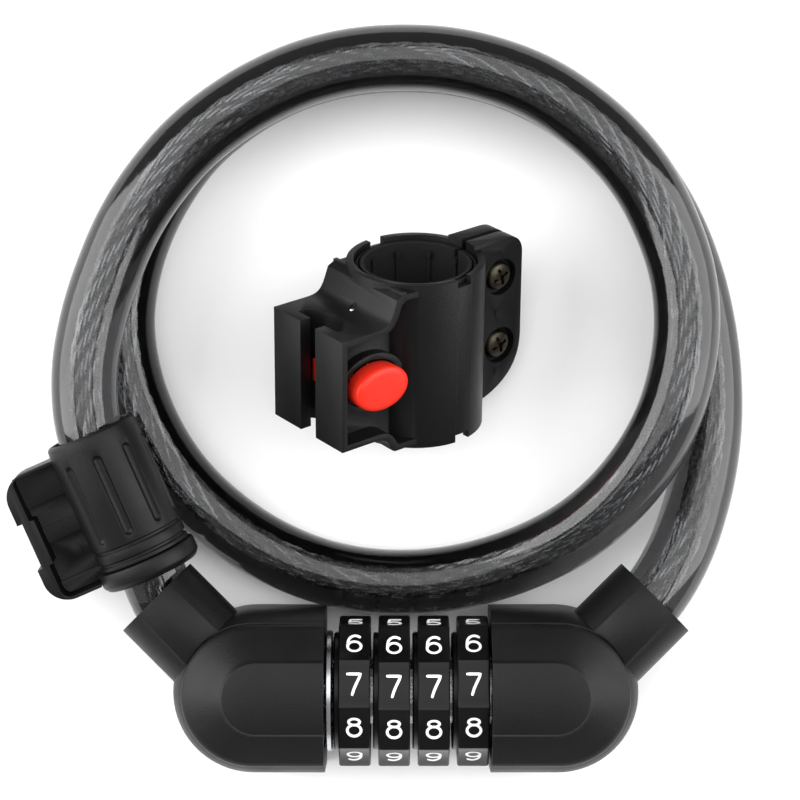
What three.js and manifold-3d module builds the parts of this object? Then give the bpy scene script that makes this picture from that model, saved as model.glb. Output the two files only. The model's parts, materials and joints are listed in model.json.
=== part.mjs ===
// Four-wheel combination cable lock with its cable-side carrier and its frame bracket.
// Millimetres, +Z up. The lock lies flat on the floor at z = 0: the head runs along X,
// and the cable makes one and a half turns behind it, towards +Y.
import * as THREE from 'three';
import { mergeVertices } from 'three/addons/utils/BufferGeometryUtils.js';
import Module from 'manifold-3d';

const wasm = await Module();
wasm.setup();

// ---------------------------------------------------------------- driving dimensions
const GAP = 0.3;                       // clearance between neighbouring pieces
const BIG = 100;                       // longer than anything that a cutter passes through

// head: the two end housings and the number wheels between them
const HEAD_CENTRE = new THREE.Vector3(1.05, -52.8, 14.5);   // from the middle of the cable loop
const D_CENTRE_X = 27.5;               // centre of each housing's round end
const HOUSING_R = 14.7;
const HOUSING_BACK_Z = -14.5;
const SHELL_SPLIT_Z = 7.6;             // where the front cover meets the back shell
const FRONT_Z = 14.5;
const LOCK_FACE_X = 15.35;
const PLUG_FACE_X = 14.65;
const BARREL_R = 8.6;
const BARREL_BORE_R = 7.7;
const BARREL_START_X = 28.3;           // where a barrel's axis crosses the head's axis
const BARREL_LENGTH = 24;
const BARREL_BORE_FROM = 14.5;
const BLOCK_HALF = 9.2;                // metal block inside each housing
const BLOCK_END_X = 36;

// number wheels and the mechanism inside them
const WHEEL_COUNT = 4;
const WHEEL_PITCH = 7.1;
const FIRST_WHEEL_X = -9.2;
const WHEEL_R = 13.7;
const WHEEL_BAND = 5.7;
const WHEEL_BORE_R = 9.3;
const SHOULDER_R = 10.3;
const SHOULDER_LENGTH = 0.9;
const FACETS = 10;
const WHEEL_TURNS = [11, 9.2, 9.2, 11]; // how far each wheel sits past the 7, in degrees
const RING_R = 9;
const RING_BORE_R = 6.3;
const RING_WIDTH = 3;
const RING_OFFSET = -2.6;              // ring's left side, from its wheel's middle
const NOTCH_HALF = 1.6;
const NOTCH_R = 8.1;
const CORE_R = 6;
const CORE_BORE_R = 3.6;
const CORE_START_X = -12.95;
const CORE_END_X = 24.5;
const CORE_SLOT_END_X = 15.8;
const BOLT_R = 3.3;
const BOLT_START_X = -25.7;
const BOLT_TIP_X = 18;
const TOOTH_HALF = 1.3;
const TOOTH_R = 7.8;
const TOOTH_LENGTH = 2.4;
const TOOTH_OFFSET = 0.8;
const END_PLATE_R = 10.9;
const END_PLATE_THICKNESS = 1.1;
const PIN_R = 1.2;

// cable
const CABLE_R = 6;
const ROPE_R = 2.25;
const JACKET_BORE_R = 3.1;
const ROPE_START = 9;                  // distances along a barrel's axis
const JACKET_START = 15.5;
const FERRULE_R = 3.5;
const FERRULE_START = 3;
const FERRULE_END = 15;
const FERRULE_PIN_AT = 6.5;

// carrier on the cable, from its collar end
const CARRIER_FOOT = new THREE.Vector3(-44.8, -31.32, 15.2);
const CARRIER_TOP = new THREE.Vector3(-56.05, -5.56, 18.1);
const CARRIER_LENGTH = CARRIER_FOOT.distanceTo(CARRIER_TOP);
const COLLAR_R = 9.3;
const COLLAR_LENGTH = 3.6;
const SLEEVE_R = 8.55;
const SLEEVE_BORE_R = 7.3;
const BUSH_R = 7;
const BUSH_BORE_R = 6.35;
const GROOVE_PLACES = 9;
const TRAY_REACH = 18.8;
const TRAY_START = 1.5;
const TRAY_LENGTH = 24.6;
const TRAY_DEPTH = 8;
const TRAY_TOP = 1.5;

// bracket: its own axes are X = push button, Y = towards the ears, Z = along the tube bore
const BRACKET_R = 12.4;
const BRACKET_BORE_R = 11.15;
const BRACKET_TOP = 16.8;
const BRACKET_LOW = -14.7;
const LINER_R = [10.85, 10.35];         // outside, inside
const INNER_LINER_R = [10.05, 9.35];
const LINER_ENDS = [-14.1, 15.95];
const INNER_LINER_RIBS = 10;
const RAIL_HALF_WIDTH = 9.9;
const RAIL_FRONT_Y = -24.2;
const RAIL_HALF_HEIGHT = 10.55;
const UPPER_RIDGE = [-10.95, 15.9];    // Y and Z of the crease where the rail block meets the clamp
const LOWER_RIDGE = [-12.4, -13.8];
const STEP_Y = -17.1;                  // where the rail block's top starts to rise
const EAR_END_Y = 21.95;
const EAR_TOP = 17.6;
const EAR_LOW_Z = -13.2;
const EAR_SIDES = [0.6, 3.7];
const SCREW_Y = 16.95;
const SCREW_Z = [10.1, -3.45];
const SLOT_HALF = 2.15;
const T_HALF = 5.6;
const PRONG_DEPTH = 2.2;
const BUTTON_Y = -16.2;
const BUTTON_HALF = [5.7, 4.1];       // along Y, along Z
const BUTTON_FACE_X = 11.5;
const BUTTON_BACK_X = 8.1;
const BOSS_TOP_X = 8;
const RAIL_PIN_Y = -14.3;
const RAIL_PIN_TOP = 11;
const POCKET_FLOOR_X = 6.05;
const STEM = { low: [-3, -20.9, -2.1], high: [9, -19, 2.1] };
const SPRING_SEAT = { y: -15.2, r: 3, floor: 2.3 };
const WEB = 1.1;                       // wall left around the side pocket
const BUTTON_WAY = new THREE.Vector3(0.626, -0.342, 0.701);   // which way the button faces
const BORE_WAY = new THREE.Vector3(0.008, 0.901, 0.433);      // which way the bore runs
const BRACKET_PLACE = new THREE.Vector3(2.706, 10.001, 0);          // its height is worked out below

// ---------------------------------------------------------------- colours
const LOOKS = {
  shell: { color: 0x1b1c1e, roughness: 0.55, metalness: 0 },
  wheel: { color: 0x161719, roughness: 0.35, metalness: 0 },
  steel: { color: 0xb9bcc0, roughness: 0.3, metalness: 1 },
  zinc: { color: 0x9a9da1, roughness: 0.45, metalness: 1 },
  jacket: { color: 0x101113, roughness: 0.15, metalness: 0 },
  rubber: { color: 0x141414, roughness: 0.8, metalness: 0 },
  bronze: { color: 0x4d4335, roughness: 0.35, metalness: 1 },
  red: { color: 0xf5402a, roughness: 0.4, metalness: 0 },
};

// ---------------------------------------------------------------- solids
// A closed three.js geometry as a solid that can be joined and cut.
function solid(geometry) {
  const bare = geometry.clone();
  bare.deleteAttribute('normal');
  bare.deleteAttribute('uv');
  const merged = mergeVertices(bare, 1e-4);
  return new wasm.Manifold(new wasm.Mesh({
    numProp: 3,
    vertProperties: new Float32Array(merged.attributes.position.array),
    triVerts: new Uint32Array(merged.index.array),
  }));
}

function toGeometry(body) {
  const mesh = body.getMesh();
  const geometry = new THREE.BufferGeometry();
  geometry.setAttribute('position', new THREE.BufferAttribute(new Float32Array(mesh.vertProperties), 3));
  geometry.setIndex(new THREE.BufferAttribute(new Uint32Array(mesh.triVerts), 1));
  geometry.computeVertexNormals();
  return geometry;
}

const join = (first, ...others) => others.reduce((sum, other) => sum.add(other), first);
const cut = (first, ...others) => others.reduce((rest, other) => rest.subtract(other), first);

// A box between two opposite corners.
function block(low, high) {
  const size = high.map((value, i) => value - low[i]);
  const centre = high.map((value, i) => (value + low[i]) / 2);
  return solid(new THREE.BoxGeometry(...size).translate(...centre));
}

// A cylinder between two points.
function rod(radius, from, to, sides = 32) {
  const start = new THREE.Vector3(...from);
  const end = new THREE.Vector3(...to);
  const along = end.clone().sub(start);
  const geometry = new THREE.CylinderGeometry(radius, radius, along.length(), sides);
  geometry.applyQuaternion(new THREE.Quaternion().setFromUnitVectors(
    new THREE.Vector3(0, 1, 0), along.clone().normalize()));
  const middle = start.add(end).multiplyScalar(0.5);
  return solid(geometry.translate(middle.x, middle.y, middle.z));
}

// An outline in XY, extruded from one height to another, with an optional bevel that stays inside.
function prism(shape, low, high, bevel = 0, bevelHeight = bevel, curveSegments = 12) {
  const geometry = new THREE.ExtrudeGeometry(shape, {
    depth: high - low - 2 * bevelHeight,
    bevelEnabled: bevel > 0,
    bevelSize: bevel,
    bevelOffset: -bevel,
    bevelThickness: bevelHeight,
    bevelSegments: 1,
    curveSegments,
  });
  return solid(geometry.translate(0, 0, low + bevelHeight));
}

function regularPath(radius, sides, PathClass = THREE.Shape) {
  const path = new PathClass();
  for (let i = 0; i < sides; i += 1) {
    const angle = (2 * Math.PI * i) / sides;
    const point = [radius * Math.cos(angle), radius * Math.sin(angle)];
    if (i === 0) path.moveTo(...point);
    else path.lineTo(...point);
  }
  path.closePath();
  return path;
}

// A ring of revolution about Z from a closed profile of [radius, height] points.
function lathe(profile, sides) {
  const points = [...profile, profile[0]].map(([r, z]) => new THREE.Vector2(r, z));
  return solid(new THREE.LatheGeometry(points, sides).rotateX(Math.PI / 2));
}

const tubeRing = (outer, inner, low, high, sides = 32) =>
  lathe([[inner, low], [outer, low], [outer, high], [inner, high]], sides);

// Turns a solid made about Z so that it lies along X.
const alongX = (body) => body.rotate([0, 90, 0]);

// ---------------------------------------------------------------- the scene graph
const model = new THREE.Group();
const head = new THREE.Group();
head.position.copy(HEAD_CENTRE);
const carrier = new THREE.Group();
carrier.position.copy(CARRIER_FOOT);
const bracket = new THREE.Group();
model.add(head, carrier, bracket);
const cordNames = new Set();

function add(parent, name, look, geometry) {
  const mesh = new THREE.Mesh(geometry, new THREE.MeshStandardMaterial(LOOKS[look]));
  mesh.name = name;
  parent.add(mesh);
  return mesh;
}
const addSolid = (parent, name, look, body) => add(parent, name, look, toGeometry(body));

// ---------------------------------------------------------------- housings
// The housings' D outline, with its round end at +X and its flat end left to be cut.
function dOutline(radius, flatX) {
  const shape = new THREE.Shape();
  shape.moveTo(flatX, -radius);
  shape.lineTo(D_CENTRE_X, -radius);
  shape.absarc(D_CENTRE_X, 0, radius, -Math.PI / 2, Math.PI / 2);
  shape.lineTo(flatX, radius);
  shape.closePath();
  return shape;
}

const onBarrel = (distance) => [
  BARREL_START_X + distance * Math.SQRT1_2, distance * Math.SQRT1_2, 0];

function housingPieces(faceX) {
  const past = faceX - 6;
  const wheelSide = block([-BIG, -BIG, -BIG], [faceX, BIG, BIG]);
  const cavity = block([-BIG, -BLOCK_HALF - GAP, -BLOCK_HALF - GAP],
    [BLOCK_END_X + GAP, BLOCK_HALF + GAP, BLOCK_HALF + GAP]);
  const shell = cut(
    join(
      prism(dOutline(HOUSING_R, past), HOUSING_BACK_Z, SHELL_SPLIT_Z, 0.8),
      rod(BARREL_R, onBarrel(0), onBarrel(BARREL_LENGTH), 28)),
    block([-BIG, -BIG, SHELL_SPLIT_Z], [onBarrel(8)[0], BIG, BIG]),
    prism(dOutline(HOUSING_R - 0.4, past), SHELL_SPLIT_Z, BIG),
    wheelSide,
    cavity,
    rod(BARREL_BORE_R, onBarrel(BARREL_BORE_FROM), onBarrel(BARREL_LENGTH + 1), 24),
    rod(FERRULE_R + 2 * GAP, onBarrel(0), onBarrel(BARREL_LENGTH), 14));
  const cover = cut(
    join(
      prism(dOutline(HOUSING_R - 0.7, past), SHELL_SPLIT_Z + GAP, FRONT_Z - 1.7, 1.7, 1.2),
      prism(dOutline(8.6, past), SHELL_SPLIT_Z + 3, FRONT_Z, 2.2, 1.6)),
    block([-BIG, -BIG, -BIG], [BIG, BIG, SHELL_SPLIT_Z + GAP]),
    wheelSide,
    cavity);
  return { shell, cover };
}

function ferrule() {
  return cut(
    rod(FERRULE_R, onBarrel(FERRULE_START), onBarrel(FERRULE_END), 14),
    rod(ROPE_R + GAP, onBarrel(ROPE_START - GAP), onBarrel(FERRULE_END + 1), 10),
    ferrulePin(PIN_R + GAP / 2, BIG));
}

function ferrulePin(radius, halfLength) {
  const [x, y] = onBarrel(FERRULE_PIN_AT);
  return rod(radius, [x, y, -halfLength], [x, y, halfLength], 10);
}

function metalBlock(faceX, shaftR, shaftEnd) {
  return cut(
    block([faceX + GAP, -BLOCK_HALF, -BLOCK_HALF], [BLOCK_END_X, BLOCK_HALF, BLOCK_HALF]),
    rod(shaftR + GAP, [0, 0, 0], [shaftEnd + GAP, 0, 0], 18),
    rod(FERRULE_R + GAP, onBarrel(FERRULE_START - GAP), onBarrel(BARREL_LENGTH), 14),
    ferrulePin(PIN_R + GAP, BIG));
}

const crossPin = (x, radius, halfLength) => rod(radius, [x, 0, -halfLength], [x, 0, halfLength], 10);
const mirrorX = (body) => body.mirror([1, 0, 0]);
const PIN_HALF_LENGTH = BLOCK_HALF - GAP;
const CORE_PIN_X = 21.3;

function buildLockSide() {
  const { shell, cover } = housingPieces(LOCK_FACE_X);
  addSolid(head, 'lock_housing', 'shell', shell);
  addSolid(head, 'lock_front_cover', 'shell', cover);
  addSolid(head, 'lock_block', 'zinc', cut(
    metalBlock(LOCK_FACE_X, CORE_R, CORE_END_X), crossPin(CORE_PIN_X, PIN_R + GAP, BIG)));
  addSolid(head, 'core_pin', 'steel', crossPin(CORE_PIN_X, PIN_R, PIN_HALF_LENGTH));
  addSolid(head, 'cable_ferrule_lock', 'steel', ferrule());
  addSolid(head, 'ferrule_pin_lock', 'steel', ferrulePin(PIN_R, PIN_HALF_LENGTH));
}

function buildPlugSide() {
  const { shell, cover } = housingPieces(PLUG_FACE_X);
  const boltEnd = -BOLT_START_X;
  addSolid(head, 'plug_housing', 'shell', mirrorX(shell));
  addSolid(head, 'plug_front_cover', 'shell', mirrorX(cover));
  addSolid(head, 'plug_block', 'zinc', mirrorX(cut(
    metalBlock(PLUG_FACE_X, BOLT_R, boltEnd), crossPin(CORE_PIN_X, PIN_R + GAP, BIG))));
  addSolid(head, 'bolt_pin', 'steel', mirrorX(crossPin(CORE_PIN_X, PIN_R, PIN_HALF_LENGTH)));
  addSolid(head, 'cable_ferrule_plug', 'steel', mirrorX(ferrule()));
  addSolid(head, 'ferrule_pin_plug', 'steel', mirrorX(ferrulePin(PIN_R, PIN_HALF_LENGTH)));
}

// ---------------------------------------------------------------- core, bolt and wheels
const wheelX = (i) => FIRST_WHEEL_X + i * WHEEL_PITCH;
const DETENT_TOP = 5.7;
const DETENT_GROOVE = 4.9;
const DETENT_HALF = 1.4;

function buildCore() {
  const tube = cut(
    rod(CORE_R, [CORE_START_X, 0, 0], [CORE_END_X, 0, 0], 24),
    rod(CORE_BORE_R, [CORE_START_X - 1, 0, 0], [BOLT_TIP_X + 1, 0, 0], 16),
    block([CORE_START_X - 1, -NOTCH_HALF, -BIG], [CORE_SLOT_END_X, NOTCH_HALF, 0]),
    block([CORE_START_X - 1, -DETENT_HALF - GAP, DETENT_GROOVE],
      [LOCK_FACE_X, DETENT_HALF + GAP, BIG]),
    crossPin(CORE_PIN_X, PIN_R + GAP / 2, BIG));
  addSolid(head, 'lock_core', 'zinc', tube);

  const plateEnd = CORE_START_X - GAP;
  const plate = cut(
    rod(END_PLATE_R, [plateEnd - END_PLATE_THICKNESS, 0, 0], [plateEnd, 0, 0], 30),
    rod(CORE_BORE_R, [-BIG, 0, 0], [BIG, 0, 0], 16),
    block([-BIG, -NOTCH_HALF, -NOTCH_R], [BIG, NOTCH_HALF, 0]));
  addSolid(head, 'core_end_plate', 'steel', plate);

  // one strip of spring steel with a raised finger under each code ring
  const strip = [block([CORE_START_X + GAP, -DETENT_HALF, DETENT_GROOVE + 0.2],
    [LOCK_FACE_X - GAP, DETENT_HALF, DETENT_GROOVE + 0.5])];
  for (let i = 0; i < WHEEL_COUNT; i += 1) {
    const middle = wheelX(i) + RING_OFFSET + RING_WIDTH / 2;
    strip.push(block([middle - 0.7, -DETENT_HALF, DETENT_GROOVE + 0.2],
      [middle + 0.7, DETENT_HALF, DETENT_TOP]));
  }
  addSolid(head, 'detent_strip', 'steel', join(...strip));
}

function buildBolt() {
  const teeth = [];
  for (let i = 0; i < WHEEL_COUNT; i += 1) {
    const start = wheelX(i) + TOOTH_OFFSET;
    teeth.push(block([start, -TOOTH_HALF, -TOOTH_R], [start + TOOTH_LENGTH, TOOTH_HALF, -1]));
  }
  const bolt = cut(
    join(rod(BOLT_R, [BOLT_START_X, 0, 0], [BOLT_TIP_X, 0, 0], 16), ...teeth),
    crossPin(-CORE_PIN_X, PIN_R + GAP / 2, BIG));
  addSolid(head, 'locking_bolt', 'steel', bolt);
}

// The rim has ten slightly bowed faces. One of them faces straight up.
function wheelOutline() {
  const shape = new THREE.Shape();
  const stepsPerFacet = 3;
  const flatR = WHEEL_R * Math.cos(Math.PI / FACETS);
  for (let i = 0; i < FACETS * stepsPerFacet; i += 1) {
    const turn = (i / stepsPerFacet - 0.5) / FACETS;
    const onFacet = ((i % stepsPerFacet) / stepsPerFacet - 0.5) * (2 * Math.PI / FACETS);
    const radius = 0.5 * (WHEEL_R + flatR / Math.cos(onFacet));
    const point = [radius * Math.cos(2 * Math.PI * turn), radius * Math.sin(2 * Math.PI * turn)];
    if (i === 0) shape.moveTo(...point);
    else shape.lineTo(...point);
  }
  shape.closePath();
  return shape;
}

function buildWheel(i) {
  const band = prism(wheelOutline(), -WHEEL_BAND / 2, WHEEL_BAND / 2, 0.25).rotate([0, 0, -WHEEL_TURNS[i]]);
  const shoulder = rod(SHOULDER_R, [0, 0, -WHEEL_BAND / 2 - SHOULDER_LENGTH], [0, 0, 0], 24);
  const bore = rod(WHEEL_BORE_R, [0, 0, -BIG], [0, 0, BIG], 24);
  const wheel = add(head, `number_wheel_${i + 1}`, 'wheel',
    toGeometry(alongX(cut(join(band, shoulder), bore))));
  wheel.position.x = wheelX(i);

  const ring = cut(
    tubeRing(RING_R, RING_BORE_R, 0, RING_WIDTH, 24),
    block([0, -NOTCH_HALF, -1], [NOTCH_R, NOTCH_HALF, RING_WIDTH + 1]));
  const codeRing = add(head, `code_ring_${i + 1}`, 'zinc', toGeometry(alongX(ring)));
  codeRing.position.x = wheelX(i) + RING_OFFSET;
}

// ---------------------------------------------------------------- cable
// Centreline from the plug's barrel to the lock's, chosen by hand, from the loop's middle.
const ROUTE = [
  [-33.61, -46.44, 14.5], [-38.56, -41.49, 14.5], [-42.55, -36.7, 14.6],
  [-45.65, -29.36, 15.42], [-49.15, -21.36, 16.32], [-52.65, -13.36, 17.22], [-56.05, -5.56, 18.1],
  [-56.9, 4.6, 18.3], [-55.4, 14.4, 18.3], [-52.4, 23.8, 18.3], [-48.6, 32.3, 18.3],
  [-43.7, 39.8, 18.3], [-37.9, 46.4, 18.3], [-31.2, 51.8, 18.3], [-24, 56.1, 18.3],
  [-16.3, 59.3, 18.3], [-8.2, 61.2, 18.3], [0, 61.8, 18.3], [8.3, 61.4, 18.3],
  [16.4, 59.7, 18.3], [24.3, 56.7, 18.3], [31.6, 52.2, 18.3], [38.2, 46.6, 18.3],
  [43.8, 39.8, 18.3], [47.9, 32, 18.3], [50.8, 23.5, 18.3], [51.8, 14.5, 18.3],
  [50.9, 5.6, 18.3], [48.4, -3.1, 18.0], [44.2, -11.1, 16.9], [38.6, -18.2, 15.0],
  [32, -23.9, 12.8], [24.6, -28.1, 10.6], [16.7, -31.1, 8.7], [8.3, -33, 7.3],
  [0, -33.6, 6.5], [-8.3, -33, 6.1], [-16.5, -31, 6], [-24.3, -27.6, 6],
  [-31.5, -23, 6], [-38, -17.3, 6], [-43.4, -10.5, 6], [-47.6, -2.6, 6],
  [-50.3, 5.9, 6], [-51.3, 14.7, 6], [-50.2, 23.6, 6], [-47.5, 32, 6],
  [-43.4, 39.8, 6], [-38.2, 46.8, 6], [-31.6, 52.6, 6], [-24.4, 57.1, 6],
  [-16.5, 60.4, 6], [-8.3, 62.3, 6], [0, 62.9, 6], [8.4, 62.5, 6],
  [16.7, 60.8, 6], [24.8, 57.7, 6], [32.3, 53.3, 6], [39.1, 47.6, 6],
  [45, 40.8, 6], [49.8, 33, 6], [53.5, 24, 6], [55.9, 14.5, 6],
  [57.1, 4.5, 6.2], [56.9, -6.1, 7.5], [54.9, -16.6, 10.2], [51.1, -27.3, 13],
  [46.4, -35.2, 14.3], [40.66, -41.49, 14.5], [35.71, -46.44, 14.5],
].map((point) => new THREE.Vector3(...point));
const route = new THREE.CatmullRomCurve3(ROUTE, false, 'centripetal');

// The route between two of its points, cut back by a distance at each end.
class Stretch extends THREE.Curve {
  constructor(first, last, trimStart, trimEnd) {
    super();
    const spans = ROUTE.length - 1;
    const startSpan = ROUTE[first].distanceTo(ROUTE[first + 1]);
    const endSpan = ROUTE[last].distanceTo(ROUTE[last - 1]);
    this.from = (first + trimStart / startSpan) / spans;
    this.to = (last - trimEnd / endSpan) / spans;
  }

  getPoint(t, target = new THREE.Vector3()) {
    return route.getPoint(this.from + t * (this.to - this.from), target);
  }
}

// The cable is cut where it crosses X = 0, so that its left half can go with the plug.
function buildCable() {
  const crossings = ROUTE.map((point, i) => (point.x === 0 ? i : -1)).filter((i) => i > 0);
  const ends = [0, ...crossings, ROUTE.length - 1];
  for (let i = 0; i + 1 < ends.length; i += 1) {
    const first = i === 0;
    const last = i + 2 === ends.length;
    const steps = 15;                  // for each quarter, so 60 in all
    const inBarrel = JACKET_START - ROPE_START;
    const jacketSection = regularPath(CABLE_R, 10);
    jacketSection.holes.push(regularPath(JACKET_BORE_R, 6, THREE.Path));
    const jacket = new Stretch(ends[i], ends[i + 1], first ? inBarrel : GAP / 2, last ? inBarrel : GAP / 2);
    const rope = new Stretch(ends[i], ends[i + 1], first ? 0 : GAP / 2, last ? 0 : GAP / 2);
    add(model, `cable_jacket_${i + 1}`, 'jacket',
      new THREE.ExtrudeGeometry(jacketSection, { steps, extrudePath: jacket }));
    add(model, `steel_rope_${i + 1}`, 'steel',
      new THREE.ExtrudeGeometry(regularPath(ROPE_R, 6), { steps, extrudePath: rope }));
    cordNames.add(`cable_jacket_${i + 1}`).add(`steel_rope_${i + 1}`);
  }
}

// ---------------------------------------------------------------- carrier on the cable
// Its Z runs up the sleeve, its X out to the tray, and its Y is across the tray's floor.
function buildCarrier() {
  const up = CARRIER_TOP.clone().sub(CARRIER_FOOT).normalize();
  const out = new THREE.Vector3(up.y, -up.x, 0).normalize().multiplyScalar(-1);
  const across = new THREE.Vector3().crossVectors(up, out);
  carrier.quaternion.setFromRotationMatrix(new THREE.Matrix4().makeBasis(out, across, up));

  const collar = lathe([
    [SLEEVE_BORE_R, 0], [COLLAR_R - 0.8, 0], [COLLAR_R, 0.9],
    [COLLAR_R, COLLAR_LENGTH - 0.6], [COLLAR_R - 0.5, COLLAR_LENGTH], [SLEEVE_BORE_R, COLLAR_LENGTH]], 28);
  addSolid(carrier, 'carrier_collar', 'shell', collar);

  const foot = COLLAR_LENGTH + GAP;
  const grooveR = SLEEVE_R - 0.35;
  let sleeve = lathe([
    [SLEEVE_BORE_R, foot], [SLEEVE_R, foot], [SLEEVE_R, foot + 1.6], [grooveR, foot + 1.9],
    [grooveR, foot + 2.4], [SLEEVE_R, foot + 2.7], [SLEEVE_R, CARRIER_LENGTH - 1],
    [SLEEVE_R - 0.3, CARRIER_LENGTH - 0.2], [SLEEVE_BORE_R, CARRIER_LENGTH]], 32);

  // tray: floor, curved outer wall with two hooks, end walls and cross ribs
  const trayEnd = TRAY_START + TRAY_LENGTH;
  const floorY = TRAY_TOP - TRAY_DEPTH;
  const wall = 1.3;
  const sideX = SLEEVE_R - 1;
  const trayOutline = new THREE.Shape();
  const corner = 4.2;
  trayOutline.moveTo(sideX - 4, TRAY_START);
  trayOutline.lineTo(TRAY_REACH - corner, TRAY_START);
  trayOutline.quadraticCurveTo(TRAY_REACH, TRAY_START, TRAY_REACH, TRAY_START + corner);
  trayOutline.lineTo(TRAY_REACH, trayEnd - corner);
  trayOutline.quadraticCurveTo(TRAY_REACH, trayEnd, TRAY_REACH - corner, trayEnd);
  trayOutline.lineTo(sideX - 4, trayEnd);
  trayOutline.closePath();
  const upright = (body) => body.rotate([90, 0, 0]);
  const outer = upright(prism(trayOutline, -TRAY_TOP, -floorY, 0, 0, 5));
  const hollow = upright(prism(trayOutline, -TRAY_TOP - 1, -floorY - wall, 0, 0, 5))
    .translate([-2.3, 0, 0]).scale([1, 1, 0.9]).translate([0, 0, 0.05 * (TRAY_START + trayEnd)]);
  const notchLow = TRAY_START + 0.3 * TRAY_LENGTH;
  const notchHigh = TRAY_START + 0.66 * TRAY_LENGTH;
  const notch = block([TRAY_REACH - 0.9, -BIG, notchLow], [BIG, BIG, notchHigh]);
  const ribs = [0.2, 0.4, 0.6, 0.85].map((share) => {
    const z = TRAY_START + share * TRAY_LENGTH;
    return block([sideX - 2, floorY + 0.5, z - 0.4], [TRAY_REACH - 1.5, floorY + wall + 1.2, z + 0.4]);
  });
  const tray = join(cut(outer, hollow, notch), ...ribs);
  const bore = rod(SLEEVE_BORE_R, [0, 0, -BIG], [0, 0, BIG], 32);
  const inside = rod(SLEEVE_R - 0.2, [0, 0, -BIG], [0, 0, BIG], 24);
  const collarRoom = rod(COLLAR_R + GAP, [0, 0, -BIG], [0, 0, foot], 28);
  sleeve = cut(join(sleeve, cut(tray, inside, collarRoom)), bore);

  // seven long grooves around the sleeve, left out where the tray is
  const grooveStart = foot + 4.4;
  const grooveEnd = CARRIER_LENGTH - 4;
  const cutters = [];
  for (let i = 0; i < GROOVE_PLACES; i += 1) {
    const angle = Math.PI / 2 + (2 * Math.PI * i) / GROOVE_PLACES;
    if (Math.cos(angle) > 0.4 && Math.sin(angle) < 0.6) continue;
    const r = SLEEVE_R + 0.45;
    const place = [r * Math.cos(angle), r * Math.sin(angle)];
    cutters.push(rod(0.85, [...place, grooveStart], [...place, grooveEnd], 6));
  }
  addSolid(carrier, 'carrier_body', 'shell', cut(sleeve, ...cutters));
  addSolid(carrier, 'carrier_bush', 'rubber',
    tubeRing(BUSH_R, BUSH_BORE_R, foot + 1, CARRIER_LENGTH - 1.2, 24));
  ['carrier_collar', 'carrier_body', 'carrier_bush'].forEach((name) => cordNames.add(name));
}

// ---------------------------------------------------------------- bracket
// The rail block's side view: Y across, Z up, with an S-curve up to the clamp on both sides.
// An inset leaves a wall of that thickness all round.
function railProfile(inset = 0) {
  const shape = new THREE.Shape();
  const half = RAIL_HALF_HEIGHT - inset;
  const step = STEP_Y + 0.6 * inset;
  const [upperY, upperZ] = [UPPER_RIDGE[0] + inset, UPPER_RIDGE[1] - inset];
  const [lowerY, lowerZ] = [LOWER_RIDGE[0] + inset, LOWER_RIDGE[1] + inset];
  shape.moveTo(RAIL_FRONT_Y + inset, -half);
  shape.lineTo(step, -half);
  shape.bezierCurveTo(step + 2.4, -half, lowerY - 1.5, -half - 0.8, lowerY - 0.7, lowerZ + 0.4);
  shape.lineTo(lowerY, lowerZ);
  shape.lineTo(-6, lowerZ);
  shape.lineTo(-6, upperZ);
  shape.lineTo(upperY, upperZ);
  shape.lineTo(upperY - 1.2, upperZ - 0.6);
  shape.bezierCurveTo(upperY - 2.6, half + 1, step + 3.4, half, step, half);
  shape.lineTo(RAIL_FRONT_Y + inset, half);
  shape.closePath();
  return shape;
}

function earProfile() {
  const shape = new THREE.Shape();
  const top = EAR_TOP;
  shape.moveTo(6, EAR_LOW_Z);
  shape.lineTo(13.5, EAR_LOW_Z);
  shape.quadraticCurveTo(EAR_END_Y, EAR_LOW_Z + 3, EAR_END_Y, EAR_LOW_Z + 11);
  shape.lineTo(EAR_END_Y, top - 4);
  shape.quadraticCurveTo(EAR_END_Y, top, EAR_END_Y - 4, top);
  shape.lineTo(6, top);
  shape.closePath();
  return shape;
}

// A profile drawn in Y and Z, extruded between two X values.
const acrossX = (shape, low, high, segments = 6) =>
  prism(shape, low, high, 0, 0, segments).rotate([90, 0, 90]);

function ovalShape(halfY, halfZ, sides = 24) {
  const shape = new THREE.Shape();
  for (let i = 0; i < sides; i += 1) {
    const angle = (2 * Math.PI * i) / sides;
    const point = [BUTTON_Y + halfY * Math.cos(angle), halfZ * Math.sin(angle)];
    if (i === 0) shape.moveTo(...point);
    else shape.lineTo(...point);
  }
  shape.closePath();
  return shape;
}

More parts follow.
